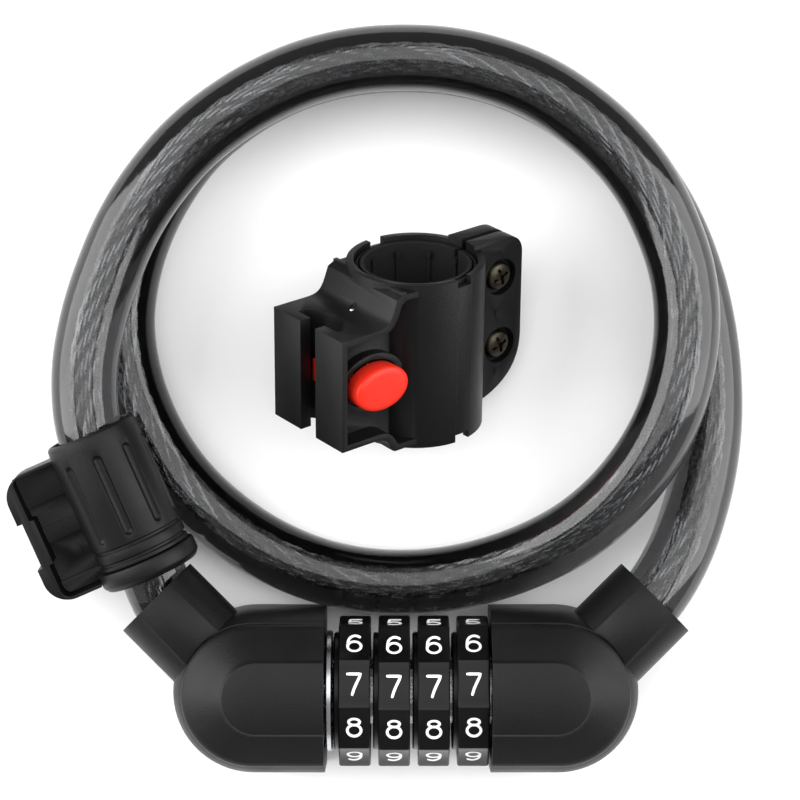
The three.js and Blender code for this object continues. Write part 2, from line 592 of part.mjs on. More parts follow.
function bracketBody() {
  const [earNear, earFar] = EAR_SIDES;
  const ring = rod(BRACKET_R, [0, 0, BRACKET_LOW], [0, 0, BRACKET_TOP], 36);
  const rail = acrossX(railProfile(), -RAIL_HALF_WIDTH, RAIL_HALF_WIDTH);
  const ears = acrossX(earProfile(), -earFar, earFar);
  const [lipY, lipZ] = UPPER_RIDGE;
  const lip = block([-RAIL_HALF_WIDTH, lipY, lipZ - 0.4], [RAIL_HALF_WIDTH, lipY + 0.8, lipZ + 0.5]);
  let body = join(ring, rail, ears, lip);

  // the side pocket, with the boss around the push button left standing
  const pocket = cut(
    acrossX(railProfile(WEB), POCKET_FLOOR_X, BIG),
    acrossX(ovalShape(BUTTON_HALF[0] + 1.5, BUTTON_HALF[1] + 1.5), -BIG, BOSS_TOP_X),
    rod(BRACKET_R, [0, 0, -BIG], [0, 0, BIG], 36));
  const buttonWell = acrossX(ovalShape(BUTTON_HALF[0] + 0.35, BUTTON_HALF[1] + 0.35), POCKET_FLOOR_X, BIG);
  const stemWay = block([-BIG, STEM.low[1] - GAP, STEM.low[2] - GAP],
    [POCKET_FLOOR_X + 1, STEM.high[1] + GAP, STEM.high[2] + GAP]);
  const stemStop = block([-BIG, -BIG, -BIG], [-T_HALF, BIG, BIG]);
  const seat = rod(
    SPRING_SEAT.r, [SPRING_SEAT.floor, SPRING_SEAT.y, 0], [POCKET_FLOOR_X + 1, SPRING_SEAT.y, 0], 14);

  // the T-slot that the carrier's tray slides into
  const neck = block([-SLOT_HALF, -BIG, -BIG], [SLOT_HALF, RAIL_FRONT_Y + PRONG_DEPTH + 1, BIG]);
  const crescent = new THREE.Shape();
  const slotY = RAIL_FRONT_Y + PRONG_DEPTH;
  crescent.moveTo(-T_HALF, slotY);
  crescent.lineTo(T_HALF, slotY);
  crescent.lineTo(T_HALF, slotY + 1.4);
  crescent.quadraticCurveTo(0, slotY + 6.6, -T_HALF, slotY + 1.4);
  crescent.closePath();
  const slot = prism(crescent, -BIG, BIG, 0, 0, 8);

  const bore = rod(BRACKET_BORE_R, [0, 0, -BIG], [0, 0, BIG], 36);
  const split = block([-earNear, 4, -BIG], [earNear, BIG, BIG]);
  const pinHole = rod(0.75, [0, RAIL_PIN_Y, -BIG], [0, RAIL_PIN_Y, BIG], 8);
  const notches = [[180, 1, 3.2], [5, 1, 3.3], [5, -1, 3.2], [150, -1, 4]];
  const rimCuts = notches.map(([degrees, side, width]) => block(
    [BRACKET_BORE_R - 2, -width / 2, side > 0 ? BRACKET_TOP - 1.4 : -BIG],
    [BRACKET_R + 1, width / 2, side > 0 ? BIG : BRACKET_LOW + 1.4]).rotate([0, 0, degrees]));
  body = cut(body, pocket, buttonWell, cut(stemWay, stemStop), seat, neck, slot, bore, split,
    pinHole, ...rimCuts);

  // screw holes: a round seat for each head, and a hexagon behind for each nut
  for (const z of SCREW_Z) {
    body = cut(body,
      rod(1.9, [-BIG, SCREW_Y, z], [BIG, SCREW_Y, z], 10),
      rod(3.5, [earFar - 1.5, SCREW_Y, z], [BIG, SCREW_Y, z], 18),
      rod(3.5, [-BIG, SCREW_Y, z], [-earFar + 1.3, SCREW_Y, z], 6));
  }
  return body;
}

function linerRing([outer, inner], ribs) {
  const [low, high] = LINER_ENDS;
  let body = tubeRing(outer, inner, low, high, 30);
  for (let i = 0; i < ribs; i += 1) {
    const rib = block([inner - 0.4, -0.35, low + 1], [inner + 0.3, 0.35, high - 0.5]);
    body = join(body, rib.rotate([0, 0, (360 * (i + 0.5)) / ribs]));
  }
  return cut(body, block([-0.5, 0, -BIG], [0.5, BIG, BIG]));
}

function springCoil(radius, wire, turns, length) {
  const points = [];
  const perTurn = 8;
  for (let i = 0; i <= turns * perTurn; i += 1) {
    const angle = (2 * Math.PI * i) / perTurn;
    const along = wire + ((length - 2 * wire) * i) / (turns * perTurn);
    points.push(new THREE.Vector3(along, radius * Math.cos(angle), radius * Math.sin(angle)));
  }
  const path = new THREE.CatmullRomCurve3(points);
  return new THREE.ExtrudeGeometry(regularPath(wire, 5), { steps: turns * perTurn, extrudePath: path });
}

function buildBracket() {
  const right = BUTTON_WAY.clone().normalize();
  const up = BORE_WAY.clone().addScaledVector(right, -BORE_WAY.dot(right)).normalize();
  const back = new THREE.Vector3().crossVectors(up, right);
  bracket.quaternion.setFromRotationMatrix(new THREE.Matrix4().makeBasis(right, back, up));
  bracket.position.copy(BRACKET_PLACE);

  addSolid(bracket, 'bracket_body', 'shell', bracketBody());
  addSolid(bracket, 'bracket_liner', 'rubber', linerRing(LINER_R, 0));
  addSolid(bracket, 'bracket_inner_liner', 'rubber', linerRing(INNER_LINER_R, INNER_LINER_RIBS));

  const [, earFar] = EAR_SIDES;
  SCREW_Z.forEach((z, i) => {
    const which = ['upper', 'lower'][i];
    const headBack = earFar - 1.5 + GAP;
    const driveDepth = 0.8;
    const screw = cut(
      join(
        rod(2.65, [headBack, SCREW_Y, z], [headBack + 1.6, SCREW_Y, z], 16),
        rod(1.5, [-earFar + 0.4, SCREW_Y, z], [headBack + 0.5, SCREW_Y, z], 8)),
      block([headBack + 1.6 - driveDepth, SCREW_Y - 1.5, z - 0.3], [BIG, SCREW_Y + 1.5, z + 0.3]),
      block([headBack + 1.6 - driveDepth, SCREW_Y - 0.3, z - 1.5], [BIG, SCREW_Y + 0.3, z + 1.5]));
    addSolid(bracket, `clamp_screw_${which}`, 'bronze', screw);
    addSolid(bracket, `clamp_nut_${which}`, 'steel', cut(
      rod(3.15, [-earFar - 1.1, SCREW_Y, z], [-earFar + 1, SCREW_Y, z], 6),
      rod(1.8, [-BIG, SCREW_Y, z], [BIG, SCREW_Y, z], 8)));
  });

  const cap = acrossX(ovalShape(...BUTTON_HALF), BUTTON_BACK_X, BUTTON_FACE_X);
  addSolid(bracket, 'release_button', 'red', join(cap, block(STEM.low, STEM.high)));
  addSolid(bracket, 'rail_pin', 'steel', rod(0.6, [0, RAIL_PIN_Y, 5], [0, RAIL_PIN_Y, RAIL_PIN_TOP], 8));
  const spring = add(bracket, 'button_spring', 'steel',
    springCoil(2.1, 0.35, 3, BUTTON_BACK_X - SPRING_SEAT.floor - 2 * GAP));
  spring.position.set(SPRING_SEAT.floor + GAP, SPRING_SEAT.y, 0);
}

// ---------------------------------------------------------------- assembly
buildLockSide();
buildPlugSide();
buildCore();
buildBolt();
for (let i = 0; i < WHEEL_COUNT; i += 1) buildWheel(i);
buildCable();
buildCarrier();
buildBracket();

// The bracket's lowest corner stands on the floor.
model.updateMatrixWorld(true);
bracket.position.z -= new THREE.Box3().setFromObject(bracket, true).min.z;

// The origin is on the floor, under the middle of the head and bracket together.
const rest = new THREE.Box3();
model.updateMatrixWorld(true);
model.traverse((part) => {
  if (part.isMesh && !cordNames.has(part.name)) rest.union(new THREE.Box3().setFromObject(part, true));
});
const middle = rest.getCenter(new THREE.Vector3());
model.position.set(-middle.x, -middle.y, -rest.min.z);

export default model;
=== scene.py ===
"""Looks of a combination cable lock, its cable carrier and its bracket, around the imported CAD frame."""

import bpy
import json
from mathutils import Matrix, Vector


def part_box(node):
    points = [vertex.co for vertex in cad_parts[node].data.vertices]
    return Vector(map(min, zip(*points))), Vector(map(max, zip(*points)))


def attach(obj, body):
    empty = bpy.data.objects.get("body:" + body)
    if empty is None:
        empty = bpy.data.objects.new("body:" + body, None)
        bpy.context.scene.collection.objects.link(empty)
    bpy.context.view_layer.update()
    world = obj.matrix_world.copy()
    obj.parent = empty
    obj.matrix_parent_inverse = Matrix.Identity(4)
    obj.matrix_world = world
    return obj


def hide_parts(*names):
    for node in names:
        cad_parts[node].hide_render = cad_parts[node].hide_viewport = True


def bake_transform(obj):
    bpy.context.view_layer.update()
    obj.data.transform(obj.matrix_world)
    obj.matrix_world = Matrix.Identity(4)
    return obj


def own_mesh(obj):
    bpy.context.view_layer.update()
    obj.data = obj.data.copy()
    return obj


bl_info = {
    "name": "Cable lock looks",
    "version": (1, 0, 0),
    "blender": (4, 5, 0),
    "location": "View3D > Sidebar > Cable lock",
    "description": "Makes the visible pieces of a combination cable lock and its bracket",
    "category": "Object",
}

import json
import math

import bmesh
import bpy
from mathutils import Matrix, Vector

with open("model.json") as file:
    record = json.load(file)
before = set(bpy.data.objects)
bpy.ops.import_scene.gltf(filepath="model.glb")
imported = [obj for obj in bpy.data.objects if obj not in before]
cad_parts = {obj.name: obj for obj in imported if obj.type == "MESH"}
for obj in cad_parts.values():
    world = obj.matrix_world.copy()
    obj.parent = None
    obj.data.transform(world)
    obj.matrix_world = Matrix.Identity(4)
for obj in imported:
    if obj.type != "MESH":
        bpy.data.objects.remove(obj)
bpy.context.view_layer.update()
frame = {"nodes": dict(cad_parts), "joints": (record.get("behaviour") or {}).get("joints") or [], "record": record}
MM = 0.001

# ------------------------------------------------------------------ places read from the frame
def joint(name):
    return next(j for j in frame["joints"] if j["name"] == name)


def middle(node):
    low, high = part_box(node)
    return (low + high) / 2


def own_axes(x_axis, y_axis, z_axis, origin):
    """Takes a piece drawn in millimetres about its own axes to its place in the row frame."""
    turn = Matrix((x_axis, y_axis, z_axis)).transposed().to_4x4()
    return Matrix.Translation(origin) @ turn @ Matrix.Scale(MM, 4)


WHEELS = ["number_wheel_1", "number_wheel_2", "number_wheel_3", "number_wheel_4"]
HEAD_CENTRE = Vector((0, middle("lock_core").y, middle("lock_core").z))
LOOP_ASIDE, LOOP_BEHIND = -1.05 * MM, 52.8 * MM        # from the head's middle to the cable loop's
LOOP_CENTRE = HEAD_CENTRE + Vector((LOOP_ASIDE, LOOP_BEHIND, -HEAD_CENTRE.z))
HEAD = Matrix.Translation(HEAD_CENTRE) @ Matrix.Scale(MM, 4)
LOCK_FACE_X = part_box("lock_housing")[0].x / MM
PLUG_FACE_X = -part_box("plug_housing")[1].x / MM
UP = Vector((0, 0, 1))

_sleeve_way = Vector(joint("carrier_turn")["axis"]).normalized()
_tray_way = UP.cross(_sleeve_way).normalized()
CARRIER = own_axes(
    _tray_way, _sleeve_way.cross(_tray_way), _sleeve_way, Vector(joint("carrier_turn")["pos_m"]))

_rail = next(m for m in frame["record"]["mounts"] if m["name"] == "rail_front_face")
_button_way = -Vector(joint("button_press")["axis"]).normalized()
_ears_way = -Vector(_rail["axis"]).normalized()
_bore_way = _button_way.cross(_ears_way).normalized()
RAIL_FRONT = 24.2                      # from the middle of the clamp's bore, in millimetres
MOUNT_ASIDE = 6.0                      # from the rail's slot to the mount's point
_bracket_at = Vector(_rail["pos_m"]) - MOUNT_ASIDE * MM * _button_way + RAIL_FRONT * MM * _ears_way
BRACKET = own_axes(_button_way, _ears_way, _bore_way, _bracket_at)


# ------------------------------------------------------------------ sizes and colours a user may change
class CableLockSizes(bpy.types.PropertyGroup):
    cable: bpy.props.FloatProperty(
        name="Cable", description="Outside diameter of the jacket", default=0.012, unit="LENGTH")
    rope: bpy.props.FloatProperty(
        name="Rope", description="Outside diameter of the steel rope", default=0.0039, unit="LENGTH")
    wire: bpy.props.FloatProperty(
        name="Wire", description="Diameter of one wire of the rope", default=0.00042, unit="LENGTH")
    digit: bpy.props.FloatProperty(
        name="Digit", description="Height of a digit on a wheel", default=0.0041, unit="LENGTH")
    edge: bpy.props.FloatProperty(
        name="Edge", description="Width of the rounding on moulded edges", default=0.0003, unit="LENGTH")


class CableLockColours(bpy.types.PropertyGroup):
    shell: bpy.props.FloatVectorProperty(
        name="Shell", description="Matt plastic of the housings and the bracket",
        default=(0.0032, 0.0033, 0.0034), subtype="COLOR")
    wheel: bpy.props.FloatVectorProperty(
        name="Wheel", description="Plastic of the number wheels",
        default=(0.0022, 0.0022, 0.0023), subtype="COLOR")
    digit: bpy.props.FloatVectorProperty(
        name="Digit", description="Paint of the digits", default=(0.9, 0.9, 0.89), subtype="COLOR")
    button: bpy.props.FloatVectorProperty(
        name="Button", description="Plastic of the push button",
        default=(0.62, 0.02, 0.008), subtype="COLOR")
    smoke: bpy.props.FloatVectorProperty(
        name="Smoke", description="Tint of the cable's jacket",
        default=(0.055, 0.055, 0.057), subtype="COLOR")


def sizes():
    return bpy.context.scene.cable_lock_sizes


def colours():
    return bpy.context.scene.cable_lock_colours


# ------------------------------------------------------------------ materials
def nodes_of(name):
    """A new material with its node tree, its shader and a helper that adds nodes."""
    made = bpy.data.materials.new(name)
    made.use_nodes = True
    tree = made.node_tree
    shader = tree.nodes["Principled BSDF"]

    def add(kind, **values):
        node = tree.nodes.new(kind)
        for key, value in values.items():
            if key in node.inputs:
                node.inputs[key].default_value = value
            else:
                setattr(node, key, value)
        return node

    return made, tree, shader, add


def grain(tree, add, scale, detail=3.0, roughness=0.6):
    """Fine noise in the piece's own metres."""
    place = add("ShaderNodeTexCoord")
    noise = add("ShaderNodeTexNoise", Scale=scale, Detail=detail, Roughness=roughness)
    tree.links.new(place.outputs["Object"], noise.inputs["Vector"])
    return noise.outputs["Fac"]


def spread(tree, add, value, low, high, start=0.3, end=0.7):
    """A texture's middle range, mapped from low to high."""
    mapping = add("ShaderNodeMapRange", clamp=True)
    for key, number in (("From Min", start), ("From Max", end), ("To Min", low), ("To Max", high)):
        mapping.inputs[key].default_value = number
    tree.links.new(value, mapping.inputs["Value"])
    return mapping.outputs["Result"]


def tint(tree, add, value, colour, contrast):
    """The colour, made a little darker and lighter by a texture."""
    mix = add("ShaderNodeMix", data_type="RGBA")
    mix.inputs[6].default_value = (*[c * (1 - contrast) for c in colour], 1)
    mix.inputs[7].default_value = (*[c * (1 + contrast) for c in colour], 1)
    tree.links.new(value, mix.inputs["Factor"])
    return mix.outputs[2]


def relief(tree, add, shader, value, distance, strength=1.0):
    """Bump from a texture, with its height in metres."""
    bump = add("ShaderNodeBump", Strength=strength, Distance=distance)
    tree.links.new(value, bump.inputs["Height"])
    tree.links.new(bump.outputs["Normal"], shader.inputs["Normal"])
    return bump


def moulded_plastic(name, colour, roughness, grain_scale=2600, grain_height=0.00004, contrast=0.12):
    """Spark-eroded plastic: fine grain, a slightly uneven sheen and faint handling marks."""
    made, tree, shader, add = nodes_of(name)
    fine = grain(tree, add, grain_scale)
    broad = grain(tree, add, 90, detail=4)
    tree.links.new(tint(tree, add, broad, colour, contrast), shader.inputs["Base Color"])
    tree.links.new(spread(tree, add, broad, roughness - 0.05, roughness + 0.07), shader.inputs["Roughness"])
    relief(tree, add, shader, fine, grain_height)
    shader.inputs["Specular IOR Level"].default_value = 0.2
    return made


def metal(name, colour, roughness, streak=(1, 1, 1), streak_scale=900, contrast=0.08, height=0.00001):
    """Machined or cast metal, with tool marks stretched by streak."""
    made, tree, shader, add = nodes_of(name)
    place = add("ShaderNodeTexCoord")
    stretch = add("ShaderNodeMapping", Scale=streak)
    marks = add("ShaderNodeTexNoise", Scale=streak_scale, Detail=4.0, Roughness=0.65)
    tree.links.new(place.outputs["Object"], stretch.inputs["Vector"])
    tree.links.new(stretch.outputs["Vector"], marks.inputs["Vector"])
    tree.links.new(tint(tree, add, marks.outputs["Fac"], colour, contrast), shader.inputs["Base Color"])
    sheen = spread(tree, add, marks.outputs["Fac"], roughness - 0.08, roughness + 0.12)
    tree.links.new(sheen, shader.inputs["Roughness"])
    relief(tree, add, shader, marks.outputs["Fac"], height)
    shader.inputs["Metallic"].default_value = 1.0
    return made


def smoky_jacket():
    """Clear plastic with a dark smoke tint, polished by the extruder."""
    made, tree, shader, add = nodes_of("smoky_jacket")
    shader.inputs["Base Color"].default_value = (*colours().smoke, 1)
    shader.inputs["Transmission Weight"].default_value = 1.0
    shader.inputs["IOR"].default_value = 1.5
    shader.inputs["Specular IOR Level"].default_value = 0.12
    wave = grain(tree, add, 160, detail=2)
    tree.links.new(spread(tree, add, wave, 0.07, 0.12), shader.inputs["Roughness"])
    relief(tree, add, shader, wave, 0.00015, strength=0.35)
    return made


def rubber():
    made, tree, shader, add = nodes_of("black_rubber")
    fine = grain(tree, add, 1800)
    tree.links.new(tint(tree, add, fine, (0.004, 0.004, 0.0041), 0.2), shader.inputs["Base Color"])
    tree.links.new(spread(tree, add, fine, 0.62, 0.8), shader.inputs["Roughness"])
    relief(tree, add, shader, fine, 0.00005)
    shader.inputs["Specular IOR Level"].default_value = 0.25
    return made


def digit_paint():
    made, tree, shader, add = nodes_of("white_digit_paint")
    fine = grain(tree, add, 1500)
    tree.links.new(tint(tree, add, fine, colours().digit, 0.03), shader.inputs["Base Color"])
    tree.links.new(spread(tree, add, fine, 0.35, 0.5), shader.inputs["Roughness"])
    return made


def make_materials():
    shades = colours()
    return {
        "shell": moulded_plastic("matt_black_shell", shades.shell, 0.43),
        "wheel": moulded_plastic("satin_black_wheel", shades.wheel, 0.3, 1800, 0.00002),
        "button": moulded_plastic("orange_red_button", shades.button, 0.33, 1500, 0.00002, contrast=0.04),
        "digit": digit_paint(),
        "steel": metal("bright_steel", (0.48, 0.49, 0.51), 0.25, streak=(1, 6, 6)),
        "rope": metal("stranded_wire", (0.85, 0.86, 0.87), 0.22, streak_scale=1400),
        # The zinc is near black: partly the discs' and blocks' own dark finish, partly painted shade for the
        # narrow gaps between the wheels.
        "zinc": metal("dark_zinc_with_painted_shade", (0.035, 0.035, 0.037), 0.5, streak_scale=500, height=0.00003),
        "bronze": metal("dark_plated_screw", (0.05, 0.043, 0.032), 0.36, streak_scale=1200),
        "jacket": smoky_jacket(),
        "rubber": rubber(),
    }


_made = {}


def look(slot):
    if not _made:
        _made.update(make_materials())
    return _made[slot]


# ------------------------------------------------------------------ mesh tools
# Pieces are drawn in millimetres about their own axes, and taken to the row frame when finished.
def object_from(name, vertices, faces):
    mesh = bpy.data.meshes.new(name)
    mesh.from_pydata([tuple(v) for v in vertices], [], faces)
    made = bpy.data.objects.new(name, mesh)
    bpy.context.scene.collection.objects.link(made)
    return made


def tidy_mesh(obj, merge=1e-4, flatten=None):
    """Merges doubles, joins flat faces if asked to, and points every face outwards."""
    work = bmesh.new()
    work.from_mesh(obj.data)
    bmesh.ops.remove_doubles(work, verts=work.verts, dist=merge)
    if flatten is not None:
        bmesh.ops.dissolve_limit(
            work, angle_limit=math.radians(flatten), verts=work.verts, edges=work.edges)
    bmesh.ops.recalc_face_normals(work, faces=work.faces)
    if work.calc_volume(signed=True) < 0:
        bmesh.ops.reverse_faces(work, faces=work.faces)
    work.to_mesh(obj.data)
    work.free()
    return obj


def loft(name, loops, closed=False):
    """Joins loops of the same number of points with quads, in order, and caps the ends of an open row."""
    count = len(loops[0])
    vertices = [p for loop in loops for p in loop]
    faces = []
    last = len(loops) if closed else len(loops) - 1
    for i in range(last):
        here, there = i * count, ((i + 1) % len(loops)) * count
        faces += [
            (here + k, here + (k + 1) % count, there + (k + 1) % count, there + k) for k in range(count)]
    if not closed:
        faces.append(tuple(range(count))[::-1])
        faces.append(tuple((len(loops) - 1) * count + k for k in range(count)))
    return tidy_mesh(object_from(name, vertices, faces))


def revolve(profile, segments=96, axis="Z", centre=(0, 0, 0)):
    """Turns a closed profile of (radius, distance along the axis) points about the axis."""
    centre = Vector(centre)
    loops = []
    for i in range(segments):
        a = 2 * math.pi * i / segments
        if axis == "X":
            loops.append([Vector((z, r * math.cos(a), r * math.sin(a))) + centre for r, z in profile])
        else:
            loops.append([Vector((r * math.cos(a), r * math.sin(a), z)) + centre for r, z in profile])
    return loft("turned", loops, closed=True)


def prism(outline, low, high, axis="Z"):
    """Extrudes a flat outline: (x, y) along Z, (y, z) along X, or (x, z) along Y."""
    order = {
        "Z": lambda u, v, w: (u, v, w),
        "X": lambda u, v, w: (w, u, v),
        "Y": lambda u, v, w: (u, w, v),
    }[axis]
    return loft("extruded", [[Vector(order(u, v, w)) for u, v in outline] for w in (low, high)])


def block(low, high):
    (x0, y0, z0), (x1, y1, z1) = low, high
    return prism([(x0, y0), (x1, y0), (x1, y1), (x0, y1)], z0, z1)


def rod(radius, start, end, segments=48):
    """A round bar between two points."""
    start, end = Vector(start), Vector(end)
    way = (end - start).normalized()
    side = way.orthogonal().normalized()
    up = way.cross(side)
    ring = [radius * (math.cos(a) * side + math.sin(a) * up)
            for a in (2 * math.pi * i / segments for i in range(segments))]
    return loft("rod", [[start + r for r in ring], [end + r for r in ring]])


def ball(radius, at):
    mesh = bpy.data.meshes.new("ball")
    work = bmesh.new()
    bmesh.ops.create_uvsphere(work, u_segments=20, v_segments=12, radius=radius)
    bmesh.ops.translate(work, verts=work.verts, vec=at)
    work.to_mesh(mesh)
    work.free()
    made = bpy.data.objects.new("ball", mesh)
    bpy.context.scene.collection.objects.link(made)
    return made


def drop(obj):
    mesh = obj.data
    bpy.data.objects.remove(obj)
    bpy.data.meshes.remove(mesh)


def settle(obj):
    """Applies every modifier and leaves a plain mesh."""
    bpy.context.view_layer.update()
    evaluated = obj.evaluated_get(bpy.context.evaluated_depsgraph_get())
    mesh = bpy.data.meshes.new_from_object(evaluated)
    obj.modifiers.clear()
    old = obj.data
    obj.data = mesh
    bpy.data.meshes.remove(old)
    return obj


def combine(base, others, operation):
    """Joins a piece with others, or cuts them from it, and removes them."""
    for other in others:
        step = base.modifiers.new("combine", "BOOLEAN")
        step.operation = operation
        step.solver = "EXACT"
        step.object = other
        settle(base)
        drop(other)
    return base


def join(base, *others):
    return combine(base, others, "UNION")


def cut(base, *others):
    return combine(base, others, "DIFFERENCE")


def soften(obj, width=None, segments=2, angle=32):
    """Rounds the sharp edges and smooths the rest."""
    tidy_mesh(obj, merge=2e-3, flatten=0.5)
    step = obj.modifiers.new("soften", "BEVEL")
    step.width = sizes().edge / MM if width is None else width
    step.segments = segments
    step.limit_method = "ANGLE"
    step.angle_limit = math.radians(angle)
    step.use_clamp_overlap = True
    settle(obj)
    return smooth(obj, angle)


def smooth(obj, angle=32):
    obj.data.shade_smooth()
    obj.data.set_sharp_from_angle(angle=math.radians(angle))
    return obj


def paint(obj, colour):
    obj.data.materials.clear()
    obj.data.materials.append(look(colour))
    return obj


def piece(obj, name, colour, body, to_row, *stands_for, slot=None):
    """Names, paints and hangs a finished piece on its CAD body."""
    obj.name = name
    obj.data.name = name
    obj.data.transform(to_row)
    if to_row.determinant() < 0:
        obj.data.flip_normals()
    paint(obj, colour)
    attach(obj, body)
    if stands_for:
        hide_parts(*stands_for)
    return obj


# ------------------------------------------------------------------ node trees
def new_tree(name, sockets):
    """An empty Geometry Nodes tree with named inputs; returns it with their identifiers."""
    tree = bpy.data.node_groups.new(name, "GeometryNodeTree")
    tree.interface.new_socket("Geometry", in_out="INPUT", socket_type="NodeSocketGeometry")
    identifiers = {}
    for label, kind, value in sockets:
        socket = tree.interface.new_socket(label, in_out="INPUT", socket_type=kind)
        if value is not None:
            socket.default_value = value
        identifiers[label] = socket.identifier
    tree.interface.new_socket("Geometry", in_out="OUTPUT", socket_type="NodeSocketGeometry")
    return tree, identifiers


def finish_tree(tree, given, geometry, merge=0.0):
    """Ends a tree: real geometry, doubles merged, material set."""
    real = tree.nodes.new("GeometryNodeRealizeInstances")
    paint_node = tree.nodes.new("GeometryNodeSetMaterial")
    result = tree.nodes.new("NodeGroupOutput")
    tree.links.new(geometry, real.inputs["Geometry"])
    last = real.outputs["Geometry"]
    if merge:
        weld = tree.nodes.new("GeometryNodeMergeByDistance")
        weld.inputs["Distance"].default_value = merge
        tree.links.new(last, weld.inputs["Geometry"])
        last = weld.outputs["Geometry"]
    tree.links.new(last, paint_node.inputs["Geometry"])
    tree.links.new(given.outputs["Material"], paint_node.inputs["Material"])
    tree.links.new(paint_node.outputs["Geometry"], result.inputs["Geometry"])


def grown(base, name, made_tree, settings):
    """Runs a tree on a mesh or curve object and returns its plain mesh; the base is removed."""
    tree, identifiers = made_tree
    step = base.modifiers.new("grow", "NODES")
    step.node_group = tree
    for label, value in settings.items():
        step[identifiers[label]] = value
    bpy.context.view_layer.update()
    evaluated = base.evaluated_get(bpy.context.evaluated_depsgraph_get())
    made = bpy.data.objects.new(name, bpy.data.meshes.new_from_object(evaluated))
    bpy.context.scene.collection.objects.link(made)
    old, kind = base.data, base.type
    bpy.data.objects.remove(base)
    if kind == "CURVE":
        bpy.data.curves.remove(old)
    else:
        bpy.data.meshes.remove(old)
    return made


def ring_tree():
    """Geometry Nodes: equal copies of a sector, turned about an axis through the origin."""
    tree, names = new_tree("ring_of_copies", (
        ("Copies", "NodeSocketInt", 10), ("Axis", "NodeSocketVector", None),
        ("First Turn", "NodeSocketFloat", 0.0), ("Material", "NodeSocketMaterial", None)))
    node, link = tree.nodes.new, tree.links.new
    given = node("NodeGroupInput")
    single = node("GeometryNodeGeometryToInstance")
    link(given.outputs["Geometry"], single.inputs[0])
    copies = node("GeometryNodeDuplicateElements")
    copies.domain = "INSTANCE"
    link(single.outputs[0], copies.inputs["Geometry"])
    link(given.outputs["Copies"], copies.inputs["Amount"])
    share = node("ShaderNodeMath")
    share.operation = "DIVIDE"
    link(copies.outputs["Duplicate Index"], share.inputs[0])
    link(given.outputs["Copies"], share.inputs[1])
    angle = node("ShaderNodeMath")
    angle.operation = "MULTIPLY_ADD"
    link(share.outputs[0], angle.inputs[0])
    angle.inputs[1].default_value = 2 * math.pi
    link(given.outputs["First Turn"], angle.inputs[2])
    turn = node("FunctionNodeAxisAngleToRotation")
    link(given.outputs["Axis"], turn.inputs["Axis"])
    link(angle.outputs[0], turn.inputs["Angle"])
    spin = node("GeometryNodeRotateInstances")
    spin.inputs["Local Space"].default_value = False
    link(copies.outputs["Geometry"], spin.inputs["Instances"])
    link(turn.outputs[0], spin.inputs["Rotation"])
    finish_tree(tree, given, spin.outputs["Instances"], merge=0.003)
    return tree, names


def sweep_tree():
    """Geometry Nodes: a round wire along a curve."""
    tree, names = new_tree("swept_wire", (
        ("Radius", "NodeSocketFloat", 0.3), ("Sides", "NodeSocketInt", 12),
        ("Material", "NodeSocketMaterial", None)))
    node, link = tree.nodes.new, tree.links.new
    given = node("NodeGroupInput")
    section = node("GeometryNodeCurvePrimitiveCircle")
    link(given.outputs["Sides"], section.inputs["Resolution"])
    link(given.outputs["Radius"], section.inputs["Radius"])
    body = node("GeometryNodeCurveToMesh")
    body.inputs["Fill Caps"].default_value = True
    link(given.outputs["Geometry"], body.inputs["Curve"])
    link(section.outputs["Curve"], body.inputs["Profile Curve"])
    finish_tree(tree, given, body.outputs["Mesh"])
    return tree, names


def guide_curve(line):
    data = bpy.data.curves.new("guide", "CURVE")
    data.dimensions = "3D"
    data.twist_mode = "MINIMUM"
    spline = data.splines.new("POLY")
    spline.points.add(len(line) - 1)
    for point, at in zip(spline.points, line):
        point.co = (*at, 1)
    made = bpy.data.objects.new("guide", data)
    bpy.context.scene.collection.objects.link(made)
    return made


# ------------------------------------------------------------------ stage
CAMERA_HEIGHT = 0.5215                 # metres
CAMERA_LENS = 125.5                    # millimetres, as the sensor
SENSOR = 36.0
FLOOR_HALF = 3.0                       # metres


def area_light(name, location, target, size, power, colour=(1, 1, 1)):
    data = bpy.data.lights.new(name, "AREA")
    data.shape = "RECTANGLE"
    data.size, data.size_y = size
    data.energy = power
    data.color = colour
    lamp = bpy.data.objects.new(name, data)
    lamp.location = location
    lamp.rotation_euler = (Vector(target) - Vector(location)).to_track_quat("-Z", "Y").to_euler()
    bpy.context.scene.collection.objects.link(lamp)
    return lamp


def floor_material():
    made, tree, shader, add = nodes_of("pale_floor")
    fine = grain(tree, add, 400)
    tree.links.new(tint(tree, add, fine, (0.92, 0.92, 0.92), 0.004), shader.inputs["Base Color"])
    shader.inputs["Roughness"].default_value = 0.9
    shader.inputs["Specular IOR Level"].default_value = 0.1
    return made


def build_stage():
    half = FLOOR_HALF
    floor = object_from(
        "floor", [(-half, -half, 0), (half, -half, 0), (half, half, 0), (-half, half, 0)], [(0, 1, 2, 3)])
    floor.data.materials.append(floor_material())

    data = bpy.data.cameras.new("camera")
    data.lens = CAMERA_LENS
    data.sensor_width = SENSOR
    data.clip_start = 0.01
    camera = bpy.data.objects.new("camera", data)
    camera.location = (LOOP_CENTRE.x, LOOP_CENTRE.y, CAMERA_HEIGHT)
    bpy.context.scene.collection.objects.link(camera)
    bpy.context.scene.camera = camera

    area_light("left softbox", (-0.75, 0.12, 0.42), LOOP_CENTRE, (0.8, 0.9), 12)
    area_light("right softbox", (0.75, 0.1, 0.42), LOOP_CENTRE, (0.8, 0.9), 10)
    area_light("overhead", (0.0, 0.25, 1.1), LOOP_CENTRE, (1.3, 0.9), 8)
    world = bpy.data.worlds.new("studio")
    world.use_nodes = True
    world.node_tree.nodes["Background"].inputs["Color"].default_value = (1, 1, 1, 1)
    world.node_tree.nodes["Background"].inputs["Strength"].default_value = 0.45
    bpy.context.scene.world = world
    bpy.context.scene.view_settings.view_transform = "Standard"


